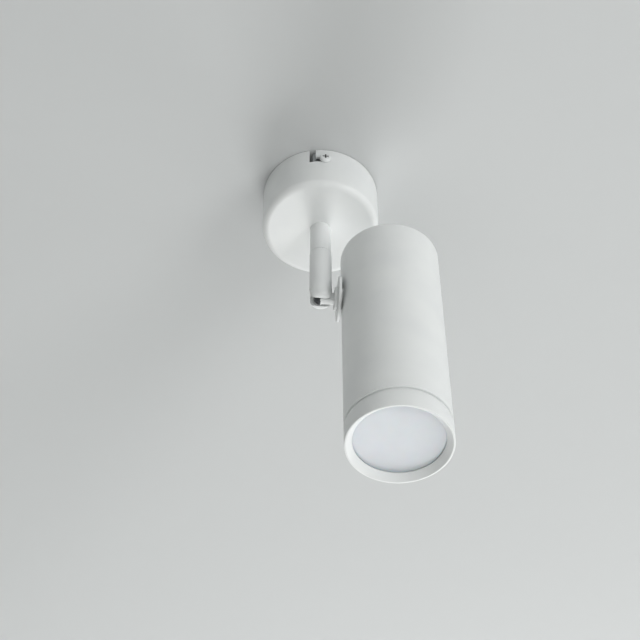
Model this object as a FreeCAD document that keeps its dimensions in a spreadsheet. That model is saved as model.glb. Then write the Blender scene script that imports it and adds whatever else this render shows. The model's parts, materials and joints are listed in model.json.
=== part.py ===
import FreeCAD, Part
import math
import os
import re
import Sketcher

# Surface mounted ceiling spotlight: a round canopy on a strap bracket, a swivelling stem with a
# fork at its end, and a cylindrical head on a side arm, with a twist-lock reflector lamp inside.
#
# Frame: millimetres, +Z up. The origin lies on the ceiling plane at the middle of the canopy, so
# the whole spotlight hangs below Z = 0. The arm points along +X at rest, and the bracket's strap
# runs along Y.

# ---------------------------------------------------------------- driving dimensions

SIZES = {
    # clearances
    "running_gap": 0.3,         # between pieces that move past each other
    "bearing_gap": 0.05,        # round a shaft or spigot that turns in its bore
    "thread_gap": 0.03,         # round a screw in its thread, which is drawn plain
    "seat_gap": 0.03,           # under a curved seat that is pressed or clamped home
    "hole_gap": 0.15,           # round a screw or spigot in its clearance hole
    "edge_break": 0.3,          # small chamfer on turned edges
    # ceiling bracket
    "strap_width": 14.0,
    "strap_gauge": 1.5,
    "strap_bend": 1.0,          # inside radius of the strap's two bends
    "cable_hole_radius": 5.0,
    "ceiling_slot_spacing": 44.0,
    "ceiling_slot_length": 9.0,
    "ceiling_slot_radius": 2.2,
    "tab_below_screw": 4.5,
    # side screws that hold the canopy
    "side_screw_level": 9.45,   # below the ceiling
    "side_screw_radius": 1.75,
    "side_head_radius": 3.35,
    "side_head_height": 2.1,
    "side_head_round": 1.3,
    "cross_arm": 1.9,           # half length of the cross recess
    "cross_half_width": 0.5,
    "cross_depth": 1.3,
    # canopy
    "canopy_radius": 34.0,
    "canopy_height": 33.0,
    "canopy_wall": 1.2,
    "canopy_round": 4.0,
    "lock_turn": 12.5,          # degrees from the notch's entry to its locked end
    "notch_width": 3.8,
    "notch_leg_height": 4.3,
    # stem
    "upper_stem_radius": 6.0,
    "upper_stem_length": 23.7,
    "nipple_radius": 4.0,       # threaded nipple at the top, spigot at the bottom
    "stem_bore": 2.6,
    "seam_gap": 0.5,
    "swivel_washer_gauge": 0.35,
    "spigot_length": 14.0,
    "groove_depth": 0.8,
    "groove_width": 2.0,
    "groove_drop": 7.0,         # groove's middle below the seam
    "stop_half_width": 0.35,
    "lower_stem_radius": 6.3,
    "lower_stem_length": 41.1,
    "wire_cavity_radius": 2.4,
    "wire_exit": 2.3,           # sideways shift of the wires at the fork
    # stem fixing inside the canopy
    "carrier_gauge": 1.0,
    "lock_washer_gauge": 0.8,
    "lock_washer_radius": 7.4,
    "locknut_height": 4.0,
    "locknut_flats": 13.0,
    "thread_runout": 0.8,
    # terminal carrier, block and earth
    "carrier_width": 14.0,
    "carrier_reach": 27.0,
    "carrier_back": 14.0,
    "carrier_tab_height": 12.0,
    "block_start": 12.0,
    "block_depth": 15.0,
    "block_width": 27.0,
    "block_height": 8.0,
    "pole_pitch": 9.0,
    "tower_radius": 3.0,
    "tower_height": 4.0,
    "clamp_pitch": 7.6,
    "clamp_screw_radius": 1.5,
    "clamp_screw_length": 4.6,
    "sleeve_radius": 2.3,
    "sleeve_bore": 1.6,
    "block_screw_radius": 1.5,
    "block_screw_head": 2.8,
    "block_screw_head_height": 1.8,
    "earth_screw_radius": 2.0,
    "earth_head_radius": 3.6,
    "earth_head_height": 2.4,
    "earth_level": 7.5,         # above the canopy's floor
    "earth_shank": 6.0,
    "lug_gauge": 0.8,
    "lug_radius": 4.2,
    "crimp_radius": 1.6,
    "crimp_length": 6.0,
    # wires
    "lead_radius": 1.0,
    "thin_lead_radius": 0.85,
    "lead_half_pitch": 1.1,
    # fork and tilt joint
    "slot_width": 6.0,
    "arm_thickness": 5.4,
    "arm_height": 6.9,
    "arm_edge_round": 1.3,
    "eye_radius": 3.9,
    "pivot_radius": 1.5,
    "pivot_blind": 2.2,
    "pivot_head_radius": 2.7,
    "pivot_head_height": 1.4,
    "pivot_washer_gauge": 0.2,
    "pivot_washer_radius": 3.4,
    "grub_radius": 1.5,
    "grub_tip_radius": 0.75,
    "grub_sink": 0.25,
    "hex_key_radius": 0.85,
    "hex_key_depth": 1.0,
    # arm, disc and their fixing in the head
    "arm_reach": 11.5,          # tilt axis to the side of the head
    "collar_radius": 6.9,
    "collar_gauge": 1.8,
    "disc_radius": 12.75,
    "disc_gauge": 1.5,
    "disc_stand_off": 0.7,
    "disc_boss_radius": 6.5,
    "arm_thread_radius": 4.0,
    "arm_bore": 2.0,
    "saddle_radius": 8.0,
    "saddle_gauge": 1.75,
    "arm_nut_height": 3.5,
    "arm_nut_flats": 12.0,
    # head
    "head_wall": 1.2,
    "lamp_clearance": 0.55,     # between the lamp and the neck of the front ring
    "head_above_pivot": 35.45,
    "head_length": 146.2,
    "shadow_gap": 2.0,
    "cap_inset": 0.8,
    "cap_gauge": 1.5,
    "cap_skirt": 7.0,
    # front ring
    "ring_height": 11.3,
    "ring_rim": 1.0,
    "ring_depth": 3.9,
    "ring_lip": 0.7,
    "lip_overlap": 1.1,         # how far the ring's lip covers the edge of the lamp
    "neck_wall": 1.2,
    "neck_length": 9.0,
    # lampholder and its bracket
    "holder_radius": 14.0,
    "holder_height": 15.0,
    "holder_face": 2.2,
    "holder_strip_width": 14.0,
    "holder_strip_gauge": 1.2,
    "holder_strip_top": 8.0,
    "holder_strip_reach": 13.0,
    "holder_screw_offset": 10.0,
    "holder_screw_radius": 1.5,
    "holder_screw_length": 7.0,
    "holder_head_radius": 2.8,
    "holder_head_height": 2.0,
    "contact_gauge": 0.5,
    "contact_half_width": 1.4,
    "lead_hole_offset": 10.5,
    "lead_hole_depth": 4.0,
    # lamp
    "lamp_radius": 25.0,
    "lamp_length": 47.5,
    "lamp_rim_height": 4.0,
    "lamp_wall": 1.4,
    "lamp_neck_radius": 15.0,
    "lamp_base_length": 13.0,
    "lamp_base_radius": 12.5,
    "lamp_plug_length": 5.0,
    "pin_offset": 5.0,
    "pin_neck_radius": 1.5,
    "pin_neck_length": 4.0,
    "pin_head_radius": 2.5,
    "pin_head_length": 3.3,
    "pin_root_length": 3.0,
    "lamp_turn": 30.0,          # degrees from the locked place to the entry holes
    "diffuser_gauge": 1.6,
    "led_board_depth": 9.0,
    "led_board_gauge": 1.6,
    "led_ring_radius": 13.0,
    "led_size": 3.0,
    "driver_gauge": 1.6,
    "driver_length": 30.0,
    "capacitor_radius": 3.2,
    "capacitor_length": 9.0,
}

# Levels and faces that follow from the sizes. Names may stand for other names above them.
FORMULAS = {
    "canopy_bore": "canopy_radius - canopy_wall",
    "floor_top": "canopy_wall - canopy_height",
    "tab_face": "sqrt((canopy_bore - running_gap)^2 - (strap_width / 2)^2)",
    "tab_end": "-side_screw_level - tab_below_screw",
    "side_head_seat": "canopy_radius + running_gap",
    "nipple_hole": "nipple_radius + hole_gap",
    "carrier_top": "floor_top + carrier_gauge",
    "washer_top": "carrier_top + lock_washer_gauge",
    "nut_top": "washer_top + locknut_height",
    "nipple_top": "nut_top + thread_runout",
    "seam_top": "-canopy_height - upper_stem_length",
    "seam_foot": "seam_top - seam_gap",
    "spigot_end": "seam_top - spigot_length",
    "groove_level": "seam_top - groove_drop",
    "groove_radius": "nipple_radius - groove_depth",
    "swivel_bore": "nipple_radius + bearing_gap",
    "swivel_bore_end": "spigot_end - running_gap",
    "stem_end": "seam_foot - lower_stem_length",
    "pivot_level": "stem_end + arm_height / 2",
    "slot_root": "pivot_level + eye_radius + running_gap",
    "pivot_head_seat": "sqrt(lower_stem_radius^2 - pivot_head_radius^2) - pivot_head_height",
    "wire_centre": "carrier_top + block_height / 2",
    "block_top": "carrier_top + block_height",
    "tower_top": "block_top + tower_height",
    "block_middle": "block_start + block_depth / 2",
    "earth_height": "floor_top + earth_level",
    "tab_front": "carrier_gauge - carrier_back",
    "lug_front": "tab_front + lug_gauge",
    "neck_bore": "lamp_radius + lamp_clearance",
    "neck_radius": "neck_bore + neck_wall",
    "head_bore": "neck_radius + bearing_gap",
    "head_radius": "head_bore + head_wall",
    "head_axis": "arm_reach + head_radius",
    "head_top": "pivot_level + head_above_pivot",
    "head_front": "head_top - head_length",
    "ring_top": "head_front + ring_height",
    "tube_end": "ring_top + shadow_gap",
    "neck_top": "tube_end + neck_length",
    "lip_back": "head_front + ring_depth",
    "lip_radius": "lamp_radius - lip_overlap",
    "disc_back": "arm_reach - disc_stand_off",
    "disc_front": "disc_back - disc_gauge",
    "collar_front": "disc_front - collar_gauge",
    "saddle_back": "arm_reach + head_wall + saddle_gauge",
    "strip_back": "saddle_back + holder_strip_gauge",
    "arm_nut_back": "strip_back + arm_nut_height",
    "arm_thread_end": "arm_nut_back + thread_runout",
    "lamp_front": "lip_back + running_gap",
    "lamp_shoulder": "lamp_front + lamp_length",
    "holder_mouth": "lamp_shoulder + running_gap",
    "holder_top": "holder_mouth + holder_height",
    "strip_top": "holder_top + holder_strip_gauge",
    "pin_neck_top": "lamp_shoulder + pin_neck_length",
    "pin_top": "pin_neck_top + pin_head_length",
    "chamber_floor": "holder_mouth + holder_face",
    "chamber_top": "pin_top + running_gap + contact_gauge",
    "body_top": "lamp_shoulder - lamp_base_length",
    "body_ceiling": "body_top - lamp_plug_length / 2",
    "body_bore": "lamp_radius - lamp_wall",
    "rim_top": "lamp_front + lamp_rim_height",
    "diffuser_radius": "lamp_radius - lamp_wall / 2",
    "led_board_top": "lamp_front + led_board_depth + led_board_gauge",
    "led_board_radius": "body_bore - (led_board_top - rim_top) * (lamp_radius - lamp_neck_radius)"
                        " / (body_ceiling - rim_top) - hole_gap",
    "plug_radius": "lamp_base_radius - 2 * lamp_wall",
    "plug_bore": "plug_radius - lamp_wall",
    "driver_width": "2 * (plug_bore - running_gap)",
    "wire_drop": "wire_exit + lead_half_pitch",
    "grub_seat": "swivel_bore + hole_gap",
    "slot_face": "slot_width / 2",
}

doc = FreeCAD.newDocument("ceiling_spotlight")
sheet = doc.addObject("Spreadsheet::Sheet", "Sizes")
for row, (alias, number) in enumerate(SIZES.items(), start=1):
    sheet.set(f"A{row}", alias)
    sheet.set(f"B{row}", str(number))
    sheet.setAlias(f"B{row}", alias)
doc.recompute()

nodes = {}


# ---------------------------------------------------------------- working with the sheet

def tied(text):
    """The formula written out, with every size read from the sheet."""
    def word(match):
        name = match.group()
        if name in SIZES:
            return "Sizes." + name
        if name in FORMULAS:
            return "(" + tied(FORMULAS[name]) + ")"
        return name
    return re.sub(r"[a-z_]+", word, text)


def worth(text):
    """What a formula comes to, as a plain number."""
    found = sheet.evalExpression(tied(text))
    return float(getattr(found, "Value", found))


def tie(thing, prop, text):
    thing.setExpression(prop, tied(text))


def put(thing, place):
    """Tie a piece's place to three formulas."""
    for letter, text in zip("xyz", place):
        tie(thing, f"Placement.Base.{letter}", text)


def keep(thing, label):
    """Name a finished sub-part; its file takes the same name."""
    thing.Label = label
    nodes[label] = thing
    return thing


# ---------------------------------------------------------------- sketches

def new_body(name, place=("0", "0", "0")):
    body = doc.addObject("PartDesign::Body", name)
    put(body, place)
    return body


def new_sketch(body, plane, lift="0"):
    """A sketch on one of the body's own origin planes, lifted along the plane's normal."""
    sketch = body.newObject("Sketcher::SketchObject", body.Name + "_sketch")
    role = plane + "_Plane"
    face = [item for item in body.Origin.OriginFeatures if item.Role == role][0]
    sketch.AttachmentSupport = [(face, "")]
    sketch.MapMode = "FlatFace"
    tie(sketch, "AttachmentOffset.Base.z", lift)
    return sketch


def pin_point(sketch, geometry, point, x, y):
    """Tie a sketch point's distances from the origin to two formulas."""
    for kind, text in (("DistanceX", x), ("DistanceY", y)):
        rule = Sketcher.Constraint(kind, -1, 1, geometry, point, worth(text))
        tie(sketch, f"Constraints[{sketch.addConstraint(rule)}]", text)


def fix_radius(sketch, geometry, text):
    number = sketch.addConstraint(Sketcher.Constraint("Radius", geometry, worth(text)))
    tie(sketch, f"Constraints[{number}]", text)


def circle(sketch, x, y, radius):
    centre = FreeCAD.Vector(worth(x), worth(y), 0)
    up = FreeCAD.Vector(0, 0, 1)
    number = sketch.addGeometry(Part.Circle(centre, up, worth(radius)))
    pin_point(sketch, number, 3, x, y)
    fix_radius(sketch, number, radius)


def rounded_end(before, corner, after, radius):
    """Where an arc of this radius leaves one line, its centre, and where it meets the next."""
    back = (before - corner).normalize()
    onward = (after - corner).normalize()
    half = back.getAngle(onward) / 2
    run = radius / math.tan(half)
    centre = corner + (back + onward).normalize() * (radius / math.sin(half))
    return corner + back * run, centre, corner + onward * run


def arc_between(centre, start, end):
    """The anticlockwise arc about a centre from one point to another."""
    rays = [start - centre, end - centre]
    angles = [math.atan2(ray.y, ray.x) for ray in rays]
    ring = Part.Circle(centre, FreeCAD.Vector(0, 0, 1), rays[0].Length)
    return Part.ArcOfCircle(ring, *angles)


def outline(sketch, corners):
    """A closed chain of lines through the corners, each (x, y) or (x, y, radius) in formulas.

    A corner with a radius is kept as a loose point on both of its lines, and an arc that is
    tangent to them takes its place.
    """
    count = len(corners)
    spots = [FreeCAD.Vector(worth(c[0]), worth(c[1]), 0) for c in corners]
    leaves, arrives, centres = list(spots), list(spots), {}
    for i, corner in enumerate(corners):
        if len(corner) == 3:
            after = spots[(i + 1) % count]
            ends = rounded_end(spots[i - 1], spots[i], after, worth(corner[2]))
            arrives[i], centres[i], leaves[i] = ends
    lines = [sketch.addGeometry(Part.LineSegment(leaves[i], arrives[(i + 1) % count]))
             for i in range(count)]
    for i, corner in enumerate(corners):
        before, after = lines[i - 1], lines[i]
        if i not in centres:
            sketch.addConstraint(Sketcher.Constraint("Coincident", before, 2, after, 1))
            pin_point(sketch, after, 1, corner[0], corner[1])
            continue
        centre = centres[i]
        left_turn = (arrives[i] - centre).cross(leaves[i] - centre).z > 0
        ends = (arrives[i], leaves[i]) if left_turn else (leaves[i], arrives[i])
        first, last = (1, 2) if left_turn else (2, 1)
        arc = sketch.addGeometry(arc_between(centre, *ends))
        sketch.addConstraint(Sketcher.Constraint("Tangent", before, 2, arc, first))
        sketch.addConstraint(Sketcher.Constraint("Tangent", arc, last, after, 1))
        fix_radius(sketch, arc, corner[2])
        point = sketch.addGeometry(Part.Point(spots[i]), True)
        sketch.addConstraint(Sketcher.Constraint("PointOnObject", point, 1, before))
        sketch.addConstraint(Sketcher.Constraint("PointOnObject", point, 1, after))
        pin_point(sketch, point, 1, corner[0], corner[1])


def rectangle(sketch, left, low, right, high):
    outline(sketch, [(left, low), (right, low), (right, high), (left, high)])


def long_hole(sketch, x, y, half_run, radius, along):
    """A slot with round ends, whose end centres lie half_run either side of (x, y)."""
    lengthwise = FreeCAD.Vector(1, 0, 0) if along == "x" else FreeCAD.Vector(0, 1, 0)
    sideways = FreeCAD.Vector(0, 0, 1).cross(lengthwise) * worth(radius)
    middle = FreeCAD.Vector(worth(x), worth(y), 0)
    far = middle + lengthwise * worth(half_run)
    near = middle - lengthwise * worth(half_run)
    cap_far = sketch.addGeometry(arc_between(far, far - sideways, far + sideways))
    line_back = sketch.addGeometry(Part.LineSegment(far + sideways, near + sideways))
    cap_near = sketch.addGeometry(arc_between(near, near + sideways, near - sideways))
    line_on = sketch.addGeometry(Part.LineSegment(near - sideways, far - sideways))
    chain = [cap_far, line_back, cap_near, line_on]
    for piece, follower in zip(chain, chain[1:] + chain[:1]):
        sketch.addConstraint(Sketcher.Constraint("Tangent", piece, 2, follower, 1))
    for cap, sign in ((cap_far, "+"), (cap_near, "-")):
        shift = f"{x} {sign} {half_run}" if along == "x" else x
        rise = f"{y} {sign} {half_run}" if along == "y" else y
        pin_point(sketch, cap, 3, shift, rise)
        fix_radius(sketch, cap, radius)


# ---------------------------------------------------------------- features

def add(body, kind, sketch):
    feature = body.newObject("PartDesign::" + kind, body.Name + "_" + kind.lower())
    feature.Profile = sketch
    return feature


def pad(body, sketch, length, way="One side", back=False):
    feature = add(body, "Pad", sketch)
    tie(feature, "Length", length)
    feature.SideType = way
    feature.Reversed = back
    return feature


def pocket(body, sketch, length, way="One side", back=False):
    """Cut the sketch out of the body, and make sure that something was cut."""
    doc.recompute()
    before = body.Shape.Volume
    feature = add(body, "Pocket", sketch)
    tie(feature, "Length", length)
    feature.SideType = way
    feature.Reversed = back
    doc.recompute()
    assert body.Shape.Volume < before - 1e-6, feature.Name + " cuts nothing"
    return feature


def turn(body, sketch, axis="V_Axis"):
    feature = add(body, "Revolution", sketch)
    feature.ReferenceAxis = (sketch, [axis])
    feature.Angle = 360
    return feature


def around(body, features, count, axis="Z"):
    """Repeat features evenly about one of the body's axes."""
    doc.recompute()
    before = body.Shape.Volume
    pattern = body.newObject("PartDesign::PolarPattern", body.Name + "_pattern")
    pattern.Originals = features
    role = axis + "_Axis"
    line = [item for item in body.Origin.OriginFeatures if item.Role == role][0]
    pattern.Axis = (line, [""])
    pattern.Angle = 360
    pattern.Occurrences = count
    body.Tip = pattern
    doc.recompute()
    assert abs(body.Shape.Volume - before) > 1e-6, pattern.Name + " repeats nothing"
    return pattern


def turned(name, profile, place=("0", "0", "0"), along="Z"):
    """A lathe-turned body. The profile's corners are (radius, height) along Z, or, for a piece
    that lies along X or Y, (position, radius)."""
    body = new_body(name, place)
    sketch = new_sketch(body, {"Z": "XZ", "X": "XZ", "Y": "YZ"}[along])
    outline(sketch, profile)
    turn(body, sketch, "V_Axis" if along == "Z" else "H_Axis")
    return body


# ---------------------------------------------------------------- plain solids and booleans

def solid(kind, place=("0", "0", "0"), direction=None, **sizes):
    thing = doc.addObject("Part::" + kind, kind)
    for prop, text in sizes.items():
        tie(thing, prop, text)
    put(thing, place)
    if direction:
        facing = FreeCAD.Rotation(FreeCAD.Vector(0, 0, 1), FreeCAD.Vector(*direction))
        thing.Placement.Rotation = facing
    return thing


def rod(place, radius, length, direction=None):
    return solid("Cylinder", place, direction, Radius=radius, Height=length)


def block(place, length, width, height):
    return solid("Box", place, None, Length=length, Width=width, Height=height)


def joined(*things):
    fuse = doc.addObject("Part::MultiFuse", "Joined")
    fuse.Shapes = list(things)
    return fuse


def carved(base, *tools):
    cut = doc.addObject("Part::Cut", "Carved")
    cut.Base = base
    cut.Tool = tools[0] if len(tools) == 1 else joined(*tools)
    return cut


def shared(one, other):
    common = doc.addObject("Part::Common", "Shared")
    common.Base, common.Tool = one, other
    return common


def group(*things):
    """Separate solids that make up one sub-part, such as a set of screws."""
    together = doc.addObject("Part::Compound", "Group")
    together.Links = list(things)
    return together


def mirrored(thing, normal):
    twin = doc.addObject("Part::Mirroring", "Twin")
    twin.Source = thing
    twin.Normal = FreeCAD.Vector(*normal)
    return twin


def hexagon(sketch, flats):
    """A hexagon across-flats on the sketch's origin, with two flats facing along Y."""
    corners = [(f"{flats} / sqrt(3) * cos({60 * i} deg)", f"{flats} / sqrt(3) * sin({60 * i} deg)")
               for i in range(6)]
    outline(sketch, corners)


# ---------------------------------------------------------------- ceiling bracket

def mounting_bracket():
    """A steel strap with its two ends bent down, slotted for ceiling screws."""
    body = new_body("bracket_body")
    gauge, face = "strap_gauge", "tab_face"
    bend = "strap_bend"
    profile = [
        (f"-{face}", "tab_end"), (f"-{face}", "0", f"{bend} + {gauge}"),
        (face, "0", f"{bend} + {gauge}"), (face, "tab_end"),
        (f"{face} - {gauge}", "tab_end"), (f"{face} - {gauge}", f"-{gauge}", bend),
        (f"{gauge} - {face}", f"-{gauge}", bend), (f"{gauge} - {face}", "tab_end"),
    ]
    sketch = new_sketch(body, "YZ")
    outline(sketch, profile)
    pad(body, sketch, "strap_width", "Symmetric")
    holes = new_sketch(body, "XY")
    circle(holes, "0", "0", "cable_hole_radius")
    for sign in ("", "-"):
        long_hole(holes, "0", f"{sign}ceiling_slot_spacing / 2",
                  "(ceiling_slot_length / 2 - ceiling_slot_radius)", "ceiling_slot_radius", "y")
    pocket(body, holes, "strap_gauge * 3", "Symmetric")
    threads = new_sketch(body, "XZ")
    circle(threads, "0", "-side_screw_level", "side_screw_radius + thread_gap")
    pocket(body, threads, "canopy_radius * 3", "Symmetric")
    return keep(body, "mounting_bracket")


def bracket_side_screws():
    """Two pan-head screws that stand in the tabs and lock the canopy's notches."""
    seat, tip = "side_head_seat", "tab_face - strap_gauge - 2"
    head = f"{seat} + side_head_height"
    screw = turned("side_screw", [
        (tip, "0"), (tip, "side_screw_radius"), (seat, "side_screw_radius"),
        (seat, "side_head_radius"), (head, "side_head_radius", "side_head_round"), (head, "0"),
    ], ("0", "0", "-side_screw_level"), "Y")
    arm, half = "cross_arm", "cross_half_width"
    face = new_sketch(screw, "XZ", f"-{head}")
    outline(face, [(arm, f"-{half}"), (arm, half), (half, half), (half, arm), (f"-{half}", arm),
                   (f"-{half}", half), (f"-{arm}", half), (f"-{arm}", f"-{half}"),
                   (f"-{half}", f"-{half}"), (f"-{half}", f"-{arm}"), (half, f"-{arm}"),
                   (half, f"-{half}")])
    pocket(screw, face, "cross_depth", back=True)
    return keep(group(screw, mirrored(screw, (0, 1, 0))), "bracket_side_screws")


# ---------------------------------------------------------------- canopy and upper stem

def canopy_cup():
    """A drawn steel cup with a rounded lower edge and two L-shaped locking notches."""
    wall, bore, low = "canopy_wall", "canopy_bore", "-canopy_height"
    body = turned("canopy_body", [
        ("nipple_hole", low), ("canopy_radius", low, "canopy_round"), ("canopy_radius", "0"),
        (bore, "0"), (bore, "floor_top", f"canopy_round - {wall}"), ("nipple_hole", "floor_top"),
    ])
    # the entry: a strip from the rim down to the leg, turned back by the locking angle
    half, inner, outer = "notch_width / 2", "canopy_bore - 4", "canopy_radius + 2"
    entry_angle = "(-90 - lock_turn) * 1 deg"
    corners = [(outer, f"-{half}"), (outer, half), (inner, half), (inner, f"-{half}")]
    foot = "-side_screw_level - notch_leg_height / 2"
    entry = new_sketch(body, "XY", foot)
    outline(entry, [(f"({x}) * cos({entry_angle}) - ({y}) * sin({entry_angle})",
                     f"({x}) * sin({entry_angle}) + ({y}) * cos({entry_angle})")
                    for x, y in corners])
    entry_cut = pocket(body, entry, "canopy_height", back=True)
    # the leg: a wedge between the entry's middle and the far side of the screw
    room = "asin((side_screw_radius + running_gap) / canopy_bore)"
    sides = [entry_angle, f"(-90 deg + {room})"]
    rays = [(f"({r}) * cos({a})", f"({r}) * sin({a})")
            for a, r in ((sides[0], inner), (sides[0], outer + " + 4"),
                         (sides[1], outer + " + 4"), (sides[1], inner))]
    leg = new_sketch(body, "XY", foot)
    outline(leg, rays)
    leg_cut = pocket(body, leg, "notch_leg_height", back=True)
    around(body, [entry_cut, leg_cut], 2)
    return keep(body, "canopy_cup")


def upper_stem():
    """A turned tube: threaded nipple on top, visible stem, and a grooved spigot that swivels."""
    nipple, groove = "nipple_radius", "groove_radius"
    top, foot = "groove_level + groove_width / 2", "groove_level - groove_width / 2"
    body = turned("upper_stem_body", [
        ("stem_bore", "nipple_top"), (nipple, "nipple_top"), (nipple, "-canopy_height"),
        ("upper_stem_radius", "-canopy_height"),
        ("upper_stem_radius", "seam_top + edge_break"),
        ("upper_stem_radius - edge_break", "seam_top"), (nipple, "seam_top"),
        (nipple, top), (groove, top), (groove, foot), (nipple, foot),
        (nipple, "spigot_end"), ("stem_bore", "spigot_end"),
    ])
    stop = new_sketch(body, "XY", foot)
    rectangle(stop, "-stop_half_width", "-nipple_radius + edge_break / 2", "stop_half_width",
              f"-{groove} + edge_break")
    pad(body, stop, "groove_width")
    return keep(body, "upper_stem")


def swivel_washer():
    """A thin slip washer in the seam between the two halves of the stem."""
    edge = "upper_stem_radius - edge_break * 2"
    low = "seam_top - swivel_washer_gauge"
    return keep(turned("swivel_washer_body", [
        ("swivel_bore", low), (edge, low), (edge, "seam_top"), ("swivel_bore", "seam_top"),
    ]), "swivel_washer")


def stem_lock_washer():
    """A star washer whose outer teeth bite under the nut."""
    body = new_body("lock_washer_body", ("0", "0", "carrier_top"))
    sketch = new_sketch(body, "XY")
    teeth = 10
    corners = []
    for i in range(teeth):
        for part, radius in ((-0.25, "1"), (0.25, "1"), (0.3, "0.82"), (0.7, "0.82")):
            angle = f"{360 / teeth * (i + part):.1f} deg"
            reach = f"lock_washer_radius * {radius}"
            corners.append((f"{reach} * cos({angle})", f"{reach} * sin({angle})"))
    outline(sketch, corners)
    circle(sketch, "0", "0", "nipple_hole")
    pad(body, sketch, "lock_washer_gauge")
    return keep(body, "stem_lock_washer")


def stem_locknut():
    body = new_body("locknut_body", ("0", "0", "washer_top"))
    sketch = new_sketch(body, "XY")
    hexagon(sketch, "locknut_flats")
    circle(sketch, "0", "0", "nipple_radius + thread_gap")
    pad(body, sketch, "locknut_height")
    return keep(body, "stem_locknut")


# ---------------------------------------------------------------- terminals and earth

def terminal_carrier():
    """A strip clamped under the stem's nut, with one end turned up for the earth screw."""
    body = new_body("carrier_body")
    front, low = "tab_front", "floor_top"
    sketch = new_sketch(body, "XZ")
    outline(sketch, [
        ("-carrier_back", low, "carrier_gauge * 1.8"), ("carrier_reach", low),
        ("carrier_reach", "carrier_top"), (front, "carrier_top", "carrier_gauge * 0.8"),
        (front, f"{low} + carrier_tab_height"), ("-carrier_back", f"{low} + carrier_tab_height"),
    ])
    pad(body, sketch, "carrier_width", "Symmetric")
    holes = new_sketch(body, "XY", low)
    circle(holes, "0", "0", "nipple_hole")
    circle(holes, "block_middle", "pole_pitch / 2", "block_screw_radius + thread_gap")
    pocket(body, holes, "carrier_gauge * 3", "Symmetric")
    earth = new_sketch(body, "YZ", f"{front} + 1")
    circle(earth, "0", "earth_height", "earth_screw_radius + thread_gap")
    pocket(body, earth, "carrier_gauge + 4")
    return keep(body, "terminal_carrier")


POLES = ("-pole_pitch", "0", "pole_pitch")
CLAMPS = ("block_middle - clamp_pitch / 2", "block_middle + clamp_pitch / 2")


def terminal_block():
    """A moulded three-pole block: a tower over every clamping screw, a bore for every sleeve."""
    body = new_body("block_body")
    base = new_sketch(body, "XY", "carrier_top")
    rectangle(base, "block_start", "-block_width / 2", "block_start + block_depth",
              "block_width / 2")
    pad(body, base, "block_height")
    towers = new_sketch(body, "XY", "block_top - edge_break")
    for pole in POLES:
        for clamp in CLAMPS:
            circle(towers, clamp, pole, "tower_radius")
    pad(body, towers, "tower_height + edge_break")
    screws = new_sketch(body, "XY", "tower_top")
    for pole in POLES:
        for clamp in CLAMPS:
            circle(screws, clamp, pole, "clamp_screw_radius + hole_gap")
    pocket(body, screws, "tower_top - wire_centre")
    bores = new_sketch(body, "YZ", "block_start - 1")
    for pole in POLES:
        circle(bores, pole, "wire_centre", "sleeve_radius + seat_gap")
    pocket(body, bores, "block_depth + 2", back=True)
    fixing = new_sketch(body, "XY", "block_top")
    circle(fixing, "block_middle", "pole_pitch / 2", "block_screw_radius + hole_gap")
    pocket(body, fixing, "block_height * 2", "Symmetric")
    return keep(body, "terminal_block")


def terminal_sleeves():
    """Three brass sleeves, one in each pole, drilled where the clamping screws come in."""
    sleeves = []
    for pole in POLES:
        start = ("block_start + edge_break", pole, "wire_centre")
        length = "block_depth - edge_break * 2"
        tube = carved(rod(start, "sleeve_radius", length, (1, 0, 0)),
                      rod(start, "sleeve_bore", length, (1, 0, 0)),
                      *[rod((clamp, pole, "wire_centre"), "clamp_screw_radius + seat_gap",
                            "tower_height * 2") for clamp in CLAMPS])
        sleeves.append(tube)
    return keep(group(*sleeves), "terminal_sleeves")


def terminal_clamp_screws():
    """Six slotted screws, each standing on the wire in its sleeve."""
    screws = []
    for pole in POLES:
        for clamp in CLAMPS:
            foot = "wire_centre + lead_radius + seat_gap"
            shank = rod((clamp, pole, foot), "clamp_screw_radius", "clamp_screw_length")
            slot = block((f"{clamp} - clamp_screw_radius", f"{pole} - 0.3",
                          f"{foot} + clamp_screw_length - 0.9"),
                         "clamp_screw_radius * 2", "0.6", "1")
            screws.append(carved(shank, slot))
    return keep(group(*screws), "terminal_clamp_screws")


def terminal_block_screw():
    foot = "floor_top + seat_gap"
    seat = "block_top"
    shank = rod(("block_middle", "pole_pitch / 2", foot), "block_screw_radius",
                f"{seat} - ({foot})")
    head = rod(("block_middle", "pole_pitch / 2", seat), "block_screw_head * 0.75",
               "block_screw_head_height")
    slot = block(("block_middle - block_screw_head", "pole_pitch / 2 - 0.35",
                  f"{seat} + block_screw_head_height - 0.8"), "block_screw_head * 2", "0.7", "1")
    return keep(carved(joined(shank, head), slot), "terminal_block_screw")


def earth_screw():
    screw = turned("earth_screw_body", [
        ("lug_front - earth_shank", "0"), ("lug_front - earth_shank", "earth_screw_radius"),
        ("lug_front", "earth_screw_radius"), ("lug_front", "earth_head_radius"),
        ("lug_front + earth_head_height", "earth_head_radius", "1"),
        ("lug_front + earth_head_height", "0"),
    ], ("0", "0", "earth_height"), "X")
    slot = new_sketch(screw, "YZ", "lug_front + earth_head_height")
    rectangle(slot, "-earth_head_radius", "-0.45", "earth_head_radius", "0.45")
    pocket(screw, slot, "1.1")
    return keep(screw, "earth_screw")


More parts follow.
